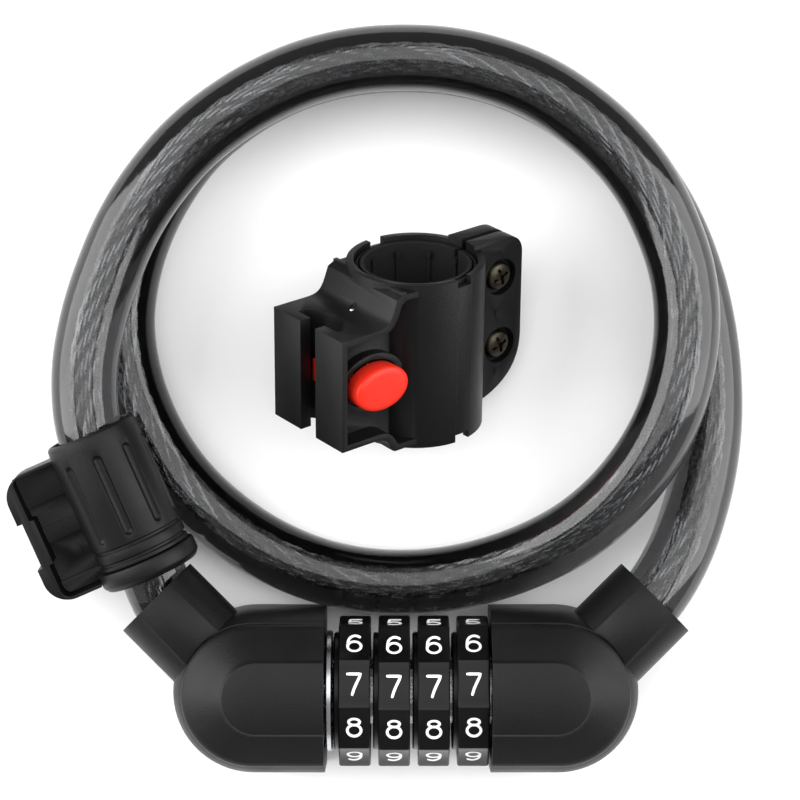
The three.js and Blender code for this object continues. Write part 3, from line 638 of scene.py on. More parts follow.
# ------------------------------------------------------------------ cable
# The cable's centreline from the plug's barrel to the lock's, in millimetres from the loop's middle.
ROUTE = [
    (-33.61, -46.44, 14.5), (-38.56, -41.49, 14.5), (-42.55, -36.7, 14.6),
    (-45.65, -29.36, 15.42), (-49.15, -21.36, 16.32), (-52.65, -13.36, 17.22), (-56.05, -5.56, 18.1),
    (-56.9, 4.6, 18.3), (-55.4, 14.4, 18.3), (-52.4, 23.8, 18.3), (-48.6, 32.3, 18.3),
    (-43.7, 39.8, 18.3), (-37.9, 46.4, 18.3), (-31.2, 51.8, 18.3), (-24, 56.1, 18.3),
    (-16.3, 59.3, 18.3), (-8.2, 61.2, 18.3), (0, 61.8, 18.3), (8.3, 61.4, 18.3),
    (16.4, 59.7, 18.3), (24.3, 56.7, 18.3), (31.6, 52.2, 18.3), (38.2, 46.6, 18.3),
    (43.8, 39.8, 18.3), (47.9, 32, 18.3), (50.8, 23.5, 18.3), (51.8, 14.5, 18.3),
    (50.9, 5.6, 18.3), (48.4, -3.1, 18.0), (44.2, -11.1, 16.9), (38.6, -18.2, 15.0),
    (32, -23.9, 12.8), (24.6, -28.1, 10.6), (16.7, -31.1, 8.7), (8.3, -33, 7.3),
    (0, -33.6, 6.5), (-8.3, -33, 6.1), (-16.5, -31, 6), (-24.3, -27.6, 6),
    (-31.5, -23, 6), (-38, -17.3, 6), (-43.4, -10.5, 6), (-47.6, -2.6, 6),
    (-50.3, 5.9, 6), (-51.3, 14.7, 6), (-50.2, 23.6, 6), (-47.5, 32, 6),
    (-43.4, 39.8, 6), (-38.2, 46.8, 6), (-31.6, 52.6, 6), (-24.4, 57.1, 6),
    (-16.5, 60.4, 6), (-8.3, 62.3, 6), (0, 62.9, 6), (8.4, 62.5, 6),
    (16.7, 60.8, 6), (24.8, 57.7, 6), (32.3, 53.3, 6), (39.1, 47.6, 6),
    (45, 40.8, 6), (49.8, 33, 6), (53.5, 24, 6), (55.9, 14.5, 6),
    (57.1, 4.5, 6.2), (56.9, -6.1, 7.5), (54.9, -16.6, 10.2), (51.1, -27.3, 13),
    (46.4, -35.2, 14.3), (40.66, -41.49, 14.5), (35.71, -46.44, 14.5),
]
JACKET_INSET = 6.5             # how far the jacket stops short of the rope's ends
JACKET_STEP = 1.6
JACKET_SIDES = 40
ROPE_STEP = 1.3
STRAND_TURN = 34               # how far along the cable a strand goes once round
WIRE_TURN = -17


def centripetal(points, per_span=12):
    """A smooth line through the points, as the CAD's own route."""
    line = []
    padded = [2 * points[0] - points[1], *points, 2 * points[-1] - points[-2]]
    for i in range(1, len(padded) - 2):
        p0, p1, p2, p3 = padded[i - 1:i + 3]
        t = [0.0]
        for a, b in ((p0, p1), (p1, p2), (p2, p3)):
            t.append(t[-1] + max((b - a).length, 1e-9) ** 0.5)
        for k in range(per_span):
            u = t[1] + (t[2] - t[1]) * k / per_span
            a1 = p0.lerp(p1, (u - t[0]) / (t[1] - t[0]))
            a2 = p1.lerp(p2, (u - t[1]) / (t[2] - t[1]))
            a3 = p2.lerp(p3, (u - t[2]) / (t[3] - t[2]))
            b1 = a1.lerp(a2, (u - t[0]) / (t[2] - t[0]))
            b2 = a2.lerp(a3, (u - t[1]) / (t[3] - t[1]))
            line.append(b1.lerp(b2, (u - t[1]) / (t[2] - t[1])))
    line.append(points[-1])
    return line


def evenly(line, spacing, start=0.0, end=0.0):
    """The line again, in equal steps, cut back at its start and end."""
    total = sum((b - a).length for a, b in zip(line, line[1:]))
    count = max(2, round((total - start - end) / spacing))
    wanted = [start + (total - start - end) * i / count for i in range(count + 1)]
    out, gone, i = [], 0.0, 0
    for distance in wanted:
        while i < len(line) - 2 and gone + (line[i + 1] - line[i]).length < distance:
            gone += (line[i + 1] - line[i]).length
            i += 1
        step = (line[i + 1] - line[i]).length
        out.append(line[i].lerp(line[i + 1], min(1.0, max(0.0, (distance - gone) / step))))
    return out


def frames_along(line):
    """Two normals at each point, carried along without twisting."""
    tangents = []
    for i in range(len(line)):
        ahead, behind = line[min(i + 1, len(line) - 1)], line[max(i - 1, 0)]
        tangents.append((ahead - behind).normalized())
    side = tangents[0].cross(UP).normalized()
    out = []
    for tangent in tangents:
        side = (side - tangent * side.dot(tangent)).normalized()
        out.append((side, tangent.cross(side)))
    return out


def hose(name, line, profile):
    """A round hose along the line, with its own radius at each point."""
    loops = []
    for (side, up), point, radius in zip(frames_along(line), line, profile):
        loops.append([
            point + radius * (math.cos(a) * side + math.sin(a) * up)
            for a in (2 * math.pi * k / JACKET_SIDES for k in range(JACKET_SIDES))])
    return loft(name, loops)


def rope_tree():
    """Geometry Nodes: six strands of wires laid round the route, each wire a helix on a helix."""
    tree, names = new_tree("laid_rope", (
        ("Strands", "NodeSocketInt", 6), ("Wires", "NodeSocketInt", 6),
        ("Strand Circle", "NodeSocketFloat", 1.2), ("Wire Circle", "NodeSocketFloat", 0.5),
        ("Wire Radius", "NodeSocketFloat", 0.2), ("Strand Lay", "NodeSocketFloat", 0.2),
        ("Wire Lay", "NodeSocketFloat", -0.4), ("Material", "NodeSocketMaterial", None)))
    node, link = tree.nodes.new, tree.links.new
    given = node("NodeGroupInput")

    def calc(operation, a, b=None, kind="ShaderNodeMath"):
        made = node(kind)
        made.operation = operation
        for i, value in enumerate(v for v in (a, b) if v is not None):
            if isinstance(value, (int, float)):
                made.inputs[i].default_value = value
            else:
                link(value, made.inputs[i])
        return made.outputs[0]

    def scaled(vector, amount):
        made = node("ShaderNodeVectorMath")
        made.operation = "SCALE"
        link(vector, made.inputs[0])
        link(amount, made.inputs["Scale"])
        return made.outputs[0]

    copies = node("GeometryNodeDuplicateElements")
    copies.domain = "SPLINE"
    link(given.outputs["Geometry"], copies.inputs["Geometry"])
    link(calc("MULTIPLY", given.outputs["Strands"], given.outputs["Wires"]), copies.inputs["Amount"])
    keep = node("GeometryNodeStoreNamedAttribute")
    keep.data_type, keep.domain = "INT", "CURVE"
    keep.inputs["Name"].default_value = "wire_number"
    link(copies.outputs["Geometry"], keep.inputs["Geometry"])
    link(copies.outputs["Duplicate Index"], keep.inputs["Value"])
    number = node("GeometryNodeInputNamedAttribute")
    number.data_type = "INT"
    number.inputs["Name"].default_value = "wire_number"
    which = number.outputs["Attribute"]
    strand = calc("FLOOR", calc("DIVIDE", which, given.outputs["Wires"]))
    wire = calc("SUBTRACT", which, calc("MULTIPLY", strand, given.outputs["Wires"]))
    along = node("GeometryNodeSplineParameter").outputs["Length"]
    tangent = node("GeometryNodeInputTangent").outputs[0]
    normal = node("GeometryNodeInputNormal").outputs[0]
    cross = node("ShaderNodeVectorMath")
    cross.operation = "CROSS_PRODUCT"
    link(tangent, cross.inputs[0])
    link(normal, cross.inputs[1])

    def helix(turn_share, lay, radius):
        angle = calc("ADD", calc("MULTIPLY", turn_share, 2 * math.pi), calc("MULTIPLY", along, lay))
        first = scaled(normal, calc("MULTIPLY", calc("COSINE", angle), radius))
        second = scaled(cross.outputs[0], calc("MULTIPLY", calc("SINE", angle), radius))
        return calc("ADD", first, second, "ShaderNodeVectorMath")

    offset = calc("ADD", helix(calc("DIVIDE", strand, given.outputs["Strands"]),
                               given.outputs["Strand Lay"], given.outputs["Strand Circle"]),
                  helix(calc("DIVIDE", wire, given.outputs["Wires"]),
                        given.outputs["Wire Lay"], given.outputs["Wire Circle"]), "ShaderNodeVectorMath")
    move = node("GeometryNodeSetPosition")
    link(keep.outputs["Geometry"], move.inputs["Geometry"])
    link(offset, move.inputs["Offset"])
    section = node("GeometryNodeCurvePrimitiveCircle")
    section.inputs["Resolution"].default_value = 5
    link(given.outputs["Wire Radius"], section.inputs["Radius"])
    body = node("GeometryNodeCurveToMesh")
    body.inputs["Fill Caps"].default_value = True
    link(move.outputs["Geometry"], body.inputs["Curve"])
    link(section.outputs["Curve"], body.inputs["Profile Curve"])
    finish_tree(tree, given, body.outputs["Mesh"])
    return tree, names


def across_plug_joint(obj):
    """Bakes the piece's place in the row frame into its mesh."""
    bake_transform(obj)


def build_cable():
    size = sizes()
    to_row = Matrix.Translation(LOOP_CENTRE) @ Matrix.Scale(MM, 4)
    line = centripetal([Vector(p) for p in ROUTE])
    body_line = evenly(line, JACKET_STEP, JACKET_INSET, JACKET_INSET)
    radius = size.cable / MM / 2
    ends = [radius - 0.7, radius - 0.2]
    radii = [*ends, *[radius] * (len(body_line) - 4), *ends[::-1]]
    jacket = smooth(hose("cable_jacket", body_line, radii), 60)
    jacket.data.transform(to_row)
    paint(jacket, "jacket")
    across_plug_joint(jacket)
    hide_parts("cable_jacket_1", "cable_jacket_2", "cable_jacket_3", "cable_jacket_4")

    wire = size.wire / MM / 2
    strand_circle = size.rope / MM / 2 * 0.64
    rope = grown(guide_curve(evenly(line, ROPE_STEP)), "steel_rope", rope_tree(), {
        "Strands": 6, "Wires": 6, "Strand Circle": strand_circle,
        "Wire Circle": size.rope / MM / 2 - strand_circle - wire, "Wire Radius": wire,
        "Strand Lay": 2 * math.pi / STRAND_TURN, "Wire Lay": 2 * math.pi / WIRE_TURN,
        "Material": look("rope")})
    smooth(rope, 60)
    rope.data.transform(to_row)
    across_plug_joint(rope)
    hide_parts("steel_rope_1", "steel_rope_2", "steel_rope_3", "steel_rope_4")

    path = [to_row @ p for p in body_line]
    length = sum((b - a).length for a, b in zip(path, path[1:]))
    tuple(path[0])


# ------------------------------------------------------------------ housings
HOUSING = {
    "radius": 14.7, "centre": 27.5, "back": -14.5, "split": 7.6, "front": 14.5,
    "barrel": 8.6, "barrel_bore": 7.7, "barrel_start": 28.3, "barrel_length": 24.0, "bore_from": 14.5,
}
BLOCK_HALF = 9.5                       # the room for the metal block inside
BLOCK_END = 36.3
FAR = 80                               # past the end of any piece


def d_outline(radius, face, shift=0.0, steps=40):
    """The housing's D outline, flat at the wheel side."""
    centre = HOUSING["centre"] - shift
    arc = [(centre + radius * math.cos(a), radius * math.sin(a))
           for a in (-math.pi / 2 + math.pi * i / steps for i in range(steps + 1))]
    return [(face, -radius), *arc, (face, radius)]


def d_loft(rings, face):
    """Stacks D outlines of (radius, height, shift towards the wheels)."""
    return loft("d_body", [
        [Vector((x, y, z)) for x, y in d_outline(r, face, shift)] for r, z, shift in rings])


def on_barrel(distance):
    reach = distance * math.sqrt(0.5)
    return Vector((HOUSING["barrel_start"] + reach, reach, 0))


def housing_cavity():
    return block((-FAR, -BLOCK_HALF, -BLOCK_HALF), (BLOCK_END, BLOCK_HALF, BLOCK_HALF))


def build_housing(side, face, to_row):
    """One end of the head: the back shell with its barrel, and the front cover with its raised pad."""
    h = HOUSING
    r, split = h["radius"], h["split"]
    shell = d_loft([
        (r - 0.9, h["back"], 0), (r, h["back"] + 0.9, 0), (r, 0.5, 0), (r - 0.12, 2.4, 0),
        (r - 0.4, 4.2, 0),
        (r - 0.85, 5.7, 0), (r - 1.35, 6.8, 0), (r - 1.8, split, 0)], face)
    barrel_end = on_barrel(h["barrel_length"])
    join(shell, rod(h["barrel"], on_barrel(2), barrel_end, 96))
    lid_r = r - 1.95
    cut(shell,
        d_loft([(lid_r + 0.2, split - 0.001, 0), (lid_r + 0.2, 20, 0)], face - 5),
        block((-FAR, -FAR, -FAR), (face, FAR, FAR)),
        housing_cavity(),
        rod(h["barrel_bore"], on_barrel(h["bore_from"]), on_barrel(h["barrel_length"] + 1), 96),
        rod(4.1, on_barrel(0), on_barrel(h["barrel_length"]), 32))
    soften(shell, 0.3, 3)
    piece(shell, f"{side}_shell", "shell", side, to_row, f"{side}_housing")

    cover = d_loft([
        (lid_r - 0.1, split + 0.1, 0), (lid_r, split + 0.25, 0), (lid_r, 9.1, 0), (lid_r - 0.12, 9.6, 0.1),
        (lid_r - 0.45, 10.1, 0.3), (lid_r - 1.0, 10.55, 0.5), (7.1, 13.65, 1.0), (6.7, 13.9, 1.05),
        (6.35, h["front"] - 0.08, 1.1), (6.15, h["front"], 1.1)], face)
    cut(cover, block((-FAR, -9.2, -9.2), (35.9, 9.2, 9.2)))
    soften(cover, 0.2, 3, angle=24)
    piece(cover, f"{side}_cover", "shell", side, to_row, f"{side}_front_cover")


def build_housings():
    mirrored = HEAD @ Matrix.Scale(-1, 4, Vector((1, 0, 0)))
    build_housing("lock", LOCK_FACE_X, HEAD)
    build_housing("plug", PLUG_FACE_X, mirrored)


# ------------------------------------------------------------------ number wheels
WHEEL_PITCH = 7.1
FIRST_WHEEL = -9.2
FACETS = 10
WHEEL_R = 13.7
WHEEL_HALF = 2.85
WHEEL_BORE = 9.3
SHOULDER = (10.6, 0.95)                # radius and length
SCOOP = 0.42                           # how deep a facet is scooped below flat
WHEEL_TURNS = [11, 9.2, 9.2, 11]
SHOWN_DIGIT = 7


def facet_radius(angle):
    """The wheel's radius at an angle from a facet's middle."""
    half = math.pi / FACETS
    flat = WHEEL_R * math.cos(half) / math.cos(angle)
    return flat - SCOOP * (1 - (angle / half) ** 2)


def wheel_sector():
    """One facet, from ridge to ridge, open where it meets its neighbours."""
    half = math.pi / FACETS
    steps = 14
    rows = []
    for i in range(steps + 1):
        angle = -half + 2 * half * i / steps
        outside = facet_radius(angle)
        if i in (0, steps):
            outside -= 0.07
        left = -WHEEL_HALF
        section = [
            (left - SHOULDER[1], WHEEL_BORE), (left - SHOULDER[1], SHOULDER[0] - 0.25),
            (left - SHOULDER[1] + 0.25, SHOULDER[0]), (left, SHOULDER[0]), (left, outside - 0.28),
            (left + 0.22, outside - 0.04), (left + 0.4, outside), (-left - 0.4, outside),
            (-left - 0.22, outside - 0.04), (-left, outside - 0.28), (-left, WHEEL_BORE)]
        rows.append([(x, r * math.sin(angle), r * math.cos(angle)) for x, r in section])
    count = len(rows[0])
    vertices = [p for row in rows for p in row]
    faces = [
        (i * count + k, i * count + (k + 1) % count, (i + 1) * count + (k + 1) % count, (i + 1) * count + k)
        for i in range(steps) for k in range(count)]
    return object_from("wheel_sector", vertices, faces)


def arc_points(centre, radii, start, end, steps=20):
    """Points on an ellipse between two angles in degrees, counted from the right, counter-clockwise."""
    out = []
    for i in range(steps + 1):
        a = math.radians(start + (end - start) * i / steps)
        out.append((centre[0] + radii[0] * math.cos(a), centre[1] + radii[1] * math.sin(a)))
    return out


# Each digit's strokes, in a box from -1 to 1 across and up.
DIGIT_STROKES = {
    0: [arc_points((0, 0), (0.95, 1), 90, 450, 40)],
    1: [[(-0.5, 0.6), (0.1, 1), (0.1, -1)]],
    2: [arc_points((0, 0.42), (0.9, 0.58), 170, -35, 20) + [(-0.95, -1), (0.95, -1)]],
    3: [arc_points((0, 0.5), (0.85, 0.5), 160, -90, 20), arc_points((0, -0.48), (0.95, 0.52), 90, -160, 20)],
    4: [[(0.45, -1), (0.45, 1), (-0.95, -0.4), (0.95, -0.4)]],
    5: [[(0.85, 1), (-0.65, 1), (-0.8, 0.05)] + arc_points((0, -0.36), (0.92, 0.64), 140, -150, 24)],
    6: [arc_points((0.12, 0.18), (1.02, 0.82), 52, 180, 16)
        + arc_points((0, -0.36), (0.95, 0.64), 180, 540, 40)],
    7: [[(-0.92, 0.98), (0.9, 0.98), (0.72, 0.62), (0.35, 0.1), (0, -0.45), (-0.25, -1)]],
    8: [arc_points((0, 0.6), (0.78, 0.36), 90, 450, 36), arc_points((0, -0.36), (0.97, 0.62), 90, 450, 40)],
    9: [arc_points((-0.12, -0.18), (1.02, 0.82), 232, 360, 16)
        + arc_points((0, 0.36), (0.95, 0.64), 0, 360, 40)],
}
DIGIT_WIDTH = 3.0
STROKE = 0.48
PAINT, PAINT_ROOT = 0.05, -0.03        # the paint's top and its underside, from the wheel's surface


def finer(line, spacing=0.25):
    out = [line[0]]
    for a, b in zip(line, line[1:]):
        count = max(1, math.ceil(math.dist(a, b) / spacing))
        out += [(a[0] + (b[0] - a[0]) * k / count, a[1] + (b[1] - a[1]) * k / count)
                for k in range(1, count + 1)]
    return out


def stroke_faces(line, to_wheel, vertices, faces):
    """A painted stroke with round ends, laid on the wheel's surface."""
    half = STROKE / 2
    closed = math.dist(line[0], line[-1]) < 1e-4
    if closed:
        line = line[:-1]
    count = len(line)
    left, right = [], []
    for i, (x, y) in enumerate(line):
        ahead = line[(i + 1) % count] if closed else line[min(i + 1, count - 1)]
        behind = line[(i - 1) % count] if closed else line[max(i - 1, 0)]
        dx, dy = ahead[0] - behind[0], ahead[1] - behind[1]
        size = math.hypot(dx, dy)
        nx, ny = -dy / size * half, dx / size * half
        left.append((x + nx, y + ny))
        right.append((x - nx, y - ny))
    first = len(vertices)
    for depth in (PAINT, PAINT_ROOT):
        vertices += [to_wheel(*p, depth) for p in left]
        vertices += [to_wheel(*p, depth) for p in right]
    top_l, top_r, low_l, low_r = (first + k * count for k in range(4))
    for i in range(count if closed else count - 1):
        j = (i + 1) % count
        faces += [
            (top_l + i, top_r + i, top_r + j, top_l + j), (low_l + i, low_l + j, low_r + j, low_r + i),
            (top_l + i, top_l + j, low_l + j, low_l + i), (top_r + i, low_r + i, low_r + j, top_r + j)]
    if closed:
        return
    for end, beside in ((0, 1), (-1, -2)):
        x, y = line[end]
        way = math.atan2(y - line[beside][1], x - line[beside][0])
        cap = [(x + half * math.cos(way + a), y + half * math.sin(way + a))
               for a in (math.pi / 2 * k / 4 for k in range(-4, 5))]
        base = len(vertices)
        vertices += [to_wheel(*p, depth) for depth in (PAINT, PAINT_ROOT) for p in cap]
        size = len(cap)
        faces.append(tuple(range(base, base + size)))
        faces.append(tuple(range(base + 2 * size - 1, base + size - 1, -1)))
        faces += [(base + k, base + size + k, base + size + (k + 1) % size, base + (k + 1) % size)
                  for k in range(size)]


def build_digits(i, x_middle):
    vertices, faces = [], []
    height = sizes().digit / MM / 2 - STROKE / 2
    width = DIGIT_WIDTH / 2 - STROKE / 2
    pitch = 2 * math.pi / FACETS
    for digit, strokes in DIGIT_STROKES.items():
        middle_angle = math.radians(WHEEL_TURNS[i]) + (SHOWN_DIGIT - digit) * pitch
        flat = facet_radius(0)

        def to_wheel(u, v, depth):
            on_facet = math.atan2(v, flat)
            r = facet_radius(max(-pitch / 2, min(pitch / 2, on_facet))) + depth
            a = middle_angle + on_facet
            return (x_middle + u, r * math.sin(a), r * math.cos(a))

        for stroke in strokes:
            stroke_faces(finer([(x * width, y * height) for x, y in stroke]), to_wheel, vertices, faces)
    made = tidy_mesh(object_from("digits", vertices, faces))
    smooth(made, 30)
    piece(made, f"digits_{i + 1}", "digit", f"wheel_{i + 1}", HEAD, slot="wheel")


def build_wheels():
    ring = ring_tree()
    for i, node in enumerate(WHEELS):
        x_middle = FIRST_WHEEL + i * WHEEL_PITCH
        band = grown(wheel_sector(), node, ring, {
            "Copies": FACETS, "Axis": (-1, 0, 0), "First Turn": math.radians(WHEEL_TURNS[i]),
            "Material": look("wheel")})
        band.data.transform(Matrix.Translation((x_middle, 0, 0)))
        tidy_mesh(band)
        smooth(band, 24)
        piece(band, f"wheel_band_{i + 1}", "wheel", f"wheel_{i + 1}", HEAD, node)
        build_digits(i, x_middle)
        start = x_middle - 2.6
        ring_body = revolve([
            (6.3, start), (8.8, start), (9, start + 0.2), (9, start + 2.8), (8.8, start + 3),
            (6.3, start + 3)], 80, "X")
        cut(ring_body, block((start - 1, -1.6, -8.1), (start + 4, 1.6, 0)))
        soften(ring_body, 0.12, 2)
        # The code discs take the near-black zinc, which also paints the shade seen in the gaps between the wheels.
        piece(ring_body, f"code_disc_{i + 1}", "zinc", f"wheel_{i + 1}", HEAD, f"code_ring_{i + 1}")


# ------------------------------------------------------------------ mechanism
def finish_cad_node(node, colour):
    """Gives a CAD node that is seen as it is its finish."""
    materials = frame["nodes"][node].data.materials
    materials.clear()
    materials.append(look(colour))


def build_mechanism():
    plate_low, plate_high = (c.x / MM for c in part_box("core_end_plate"))
    plate = revolve([
        (6.1, plate_low), (10.7, plate_low), (10.9, plate_low + 0.2), (10.9, plate_high - 0.2),
        (10.7, plate_high), (6.1, plate_high)], 120, "X")
    smooth(plate, 40)
    piece(plate, "end_plate", "steel", "lock", HEAD, "core_end_plate")

    low, high = (c.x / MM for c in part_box("locking_bolt"))
    bolt = revolve([(0, low), (3.3, low), (3.3, high - 0.9), (2.5, high), (0, high)], 64, "X")
    for i in range(len(WHEELS)):
        start = FIRST_WHEEL + i * WHEEL_PITCH + 0.8
        join(bolt, block((start, -1.3, -7.8), (start + 2.4, 1.3, -1)))
    cut(bolt, rod(1.22, (-21.3, 0, -9), (-21.3, 0, 9), 32))
    soften(bolt, 0.25, 2)
    piece(bolt, "bolt", "steel", "plug", HEAD, "locking_bolt")

    for node in ("lock_core", "detent_strip", "core_pin", "bolt_pin", "cable_ferrule_lock",
                 "ferrule_pin_lock", "cable_ferrule_plug", "ferrule_pin_plug"):
        finish_cad_node(node, "steel")
    # The blocks share the near-black zinc, with its painted shade.
    for node in ("lock_block", "plug_block"):
        finish_cad_node(node, "zinc")


# ------------------------------------------------------------------ carrier
SLEEVE_ENDS = (Vector((-44.8, -31.32, 15.2)), Vector((-56.05, -5.56, 18.1)))       # on the cable's route
SLEEVE_LENGTH = (SLEEVE_ENDS[1] - SLEEVE_ENDS[0]).length
SLEEVE_R = 8.55
SLEEVE_BORE = 7.3
COLLAR_R = 9.3
COLLAR_LENGTH = 3.6
TRAY = {
    "reach": 18.8, "start": 1.5, "length": 24.6, "low": -6.5, "top": 1.5, "corner": 4.6,
    "wall": 2.3, "end_wall": 0.55,
}
TRAY_FLOOR = 1.3
GROOVE_PLACES = 9
GROOVE_R = 1.0


def tray_outline():
    """The tray seen from above, (out, along the sleeve), with rounded outer corners."""
    reach, corner = TRAY["reach"], TRAY["corner"]
    low, high = TRAY["start"], TRAY["start"] + TRAY["length"]
    return [
        (3.5, low), *arc_points((reach - corner, low + corner), (corner, corner), -90, 0, 12),
        *arc_points((reach - corner, high - corner), (corner, corner), 0, 90, 12), (3.5, high)]


def tray_hollow(low_step, high_step):
    """The room inside the tray: thin end walls, and a broad outer wall that steps in between two heights."""
    inner = TRAY["reach"] - TRAY["wall"]
    low, high = TRAY["start"] + TRAY["end_wall"], TRAY["start"] + TRAY["length"] - TRAY["end_wall"]
    return [
        (3.5, low), *arc_points((inner - 1.8, low + 1.8), (1.8, 1.8), -90, 0, 8), (inner, low_step),
        (inner - 0.85, low_step + 0.2), (inner - 0.85, high_step - 0.2), (inner, high_step),
        *arc_points((inner - 1.1, high - 1.1), (1.1, 1.1), 0, 90, 8), (3.5, high)]


def groove_cutter(x, y, low, high):
    """A round-ended bar for one groove along the sleeve."""
    bar = rod(GROOVE_R, (x, y, low), (x, y, high), 20)
    return join(bar, ball(GROOVE_R, (x, y, low)), ball(GROOVE_R, (x, y, high)))


def build_tray(foot):
    """The hooked tray at the sleeve's side, hollow, with its steps and its round mark."""
    low, top = TRAY["low"], TRAY["top"]
    start, long = TRAY["start"], TRAY["length"]
    tray = prism(tray_outline(), low, top, "Y")
    notch_low, notch_high = start + 0.3 * long, start + 0.66 * long
    floor = low + TRAY_FLOOR
    cut(tray,
        prism(tray_hollow(notch_low, notch_high), floor, top + 1, "Y"),
        block((TRAY["reach"] - 0.95, -FAR, notch_low), (FAR, FAR, notch_high)))
    inner = TRAY["reach"] - TRAY["wall"] + 0.5
    # steps on the tray's floor: from and to, as shares of its length, and height
    for first, last, high in ((0.03, 0.13, 0.9), (0.43, 0.55, 0.75), (0.55, 0.73, 0.35), (0.73, 0.97, 1.5)):
        join(tray, block((5, floor - 0.3, start + first * long), (inner, floor + high, start + last * long)))
    join(tray, rod(1.25, (11.8, floor - 0.3, notch_low), (11.8, floor + 0.25, notch_low), 32))
    return cut(
        tray,
        rod(SLEEVE_R - 0.2, (0, 0, -FAR), (0, 0, FAR), 128),
        rod(COLLAR_R + 0.2, (0, 0, -FAR), (0, 0, foot), 128))


def build_carrier_body():
    length = SLEEVE_LENGTH
    foot = COLLAR_LENGTH + 0.15
    r = SLEEVE_R
    sleeve = revolve([
        (SLEEVE_BORE, foot), (r - 0.15, foot), (r, foot + 0.15), (r, foot + 0.7), (r - 0.35, foot + 0.95),
        (r - 0.35, foot + 1.3), (r, foot + 1.55), (r, foot + 3.1), (r - 0.35, foot + 3.35),
        (r - 0.35, foot + 3.75), (r, foot + 4.0), (r + 0.05, length - 2.2), (r - 0.15, length - 0.5),
        (r - 0.5, length - 0.1), (r - 0.75, length), (SLEEVE_BORE + 0.15, length),
        (SLEEVE_BORE, length - 0.2)], 128)
    join(sleeve, build_tray(foot))
    cutters = []
    for i in range(GROOVE_PLACES):
        angle = math.pi / 2 + 2 * math.pi * i / GROOVE_PLACES
        if math.cos(angle) > 0.4 and math.sin(angle) < 0.6:
            continue                   # the tray is here
        x, y = (r + 0.35) * math.cos(angle), (r + 0.35) * math.sin(angle)
        cutters.append(groove_cutter(x, y, foot + 6.1, length - 4.9))
    cut(sleeve, rod(SLEEVE_BORE, (0, 0, -FAR), (0, 0, FAR), 128), *cutters)
    soften(sleeve, 0.22, 2, angle=30)
    piece(sleeve, "carrier_shell", "shell", "carrier", CARRIER, "carrier_body")


def build_carrier():
    build_carrier_body()
    length = COLLAR_LENGTH
    collar = revolve([
        (SLEEVE_BORE, 0), (COLLAR_R - 1.0, 0), (COLLAR_R - 0.75, 0.1), (COLLAR_R - 0.1, 0.9),
        (COLLAR_R, 1.15), (COLLAR_R, length - 0.35), (COLLAR_R - 0.12, length - 0.1),
        (COLLAR_R - 0.35, length), (SLEEVE_BORE, length)], 128)
    smooth(collar, 40)
    piece(collar, "collar_ring", "shell", "collar", CARRIER, "carrier_collar")
    bush = revolve([(6.35, 4.9), (7.0, 4.9), (7.0, 27), (6.9, 27.15), (6.45, 27.15), (6.35, 27)], 96)
    smooth(bush, 40)
    piece(bush, "bush", "rubber", "carrier", CARRIER, "carrier_bush")


# ------------------------------------------------------------------ bracket
SHAPE = {                              # the bracket's body, in millimetres about the clamp's bore
    "r": 12.4, "bore": 11.15, "top": 16.8, "low": -14.7, "rail_half": 9.9, "front": -RAIL_FRONT,
    "half": 10.55,
    "upper_ridge": (-10.95, 15.9), "lower_ridge": (-12.4, -13.8), "step": -17.1, "ear_end": 21.95,
    "ear_top": 17.6, "ear_low": -13.2, "ear": (0.6, 3.7), "screw_y": 16.95, "screw_z": (10.1, -3.45),
    "slot": 2.15, "t": 5.6, "prong": 2.2, "button_y": -16.2, "button": (5.7, 4.1), "button_face": 11.5,
    "button_back": 8.1, "boss_top": 8.0, "floor": 6.05, "web": 1.1,
}
PIN = {"y": -14.3, "r": 0.6, "top": 11.0, "low": 5}
SPRING = {"y": -15.2, "start": 2.6, "length": 5.2, "turns": 4, "radius": 2.1, "wire": 0.3}
SPRING_STEPS = 24                      # points for each turn
LINER_LOW, LINER_HIGH = -14.1, 15.95
RIM_NOTCHES = ((180, 1, 3.2), (5, 1, 3.3), (5, -1, 3.2), (150, -1, 4))     # turn in degrees, side, width
RAIL_MARKS = ((-21.6, 8.0), (-21.6, -8.0))
EAR_MARKS = ((17.2, 15.2), (16.2, 3.4), (16.4, -8.6))


def bezier(a, b, c, d, steps=14):
    out = []
    for i in range(1, steps + 1):
        t = i / steps
        out.append(tuple(
            (1 - t) ** 3 * a[k] + 3 * t * (1 - t) ** 2 * b[k] + 3 * t * t * (1 - t) * c[k] + t ** 3 * d[k]
            for k in (0, 1)))
    return out


def rail_outline(inset=0.0):
    """The rail block's side view, (y, z), with an S-curve up to the clamp on both sides."""
    half, step, front = SHAPE["half"] - inset, SHAPE["step"] + 0.6 * inset, SHAPE["front"] + inset
    uy, uz = SHAPE["upper_ridge"][0] + inset, SHAPE["upper_ridge"][1] - inset
    ly, lz = SHAPE["lower_ridge"][0] + inset, SHAPE["lower_ridge"][1] + inset
    low_turn, high_turn = (ly - 0.7, lz + 0.4), (uy - 1.2, uz - 0.6)
    return [
        (front, -half), (step, -half),
        *bezier((step, -half), (step + 2.4, -half), (ly - 1.5, -half - 0.8), low_turn),
        (ly, lz), (-6, lz), (-6, uz), (uy, uz), high_turn,
        *bezier(high_turn, (uy - 2.6, half + 1), (step + 3.4, half), (step, half)),
        (front, half)]


def ear_outline():
    end, top, low = SHAPE["ear_end"], SHAPE["ear_top"], SHAPE["ear_low"]
    out = [(6, low), (13.5, low)]
    out += bezier((13.5, low), (19.1, low + 2), (end, low + 5.6), (end, low + 11), 16)
    out += bezier((end, top - 4), (end, top - 1.4), (end - 1.4, top), (end - 4, top), 12)
    return [*out, (6, top)]


def oval(half_y, half_z, steps=56):
    return [(SHAPE["button_y"] + half_y * math.cos(a), half_z * math.sin(a))
            for a in (2 * math.pi * i / steps for i in range(steps))]


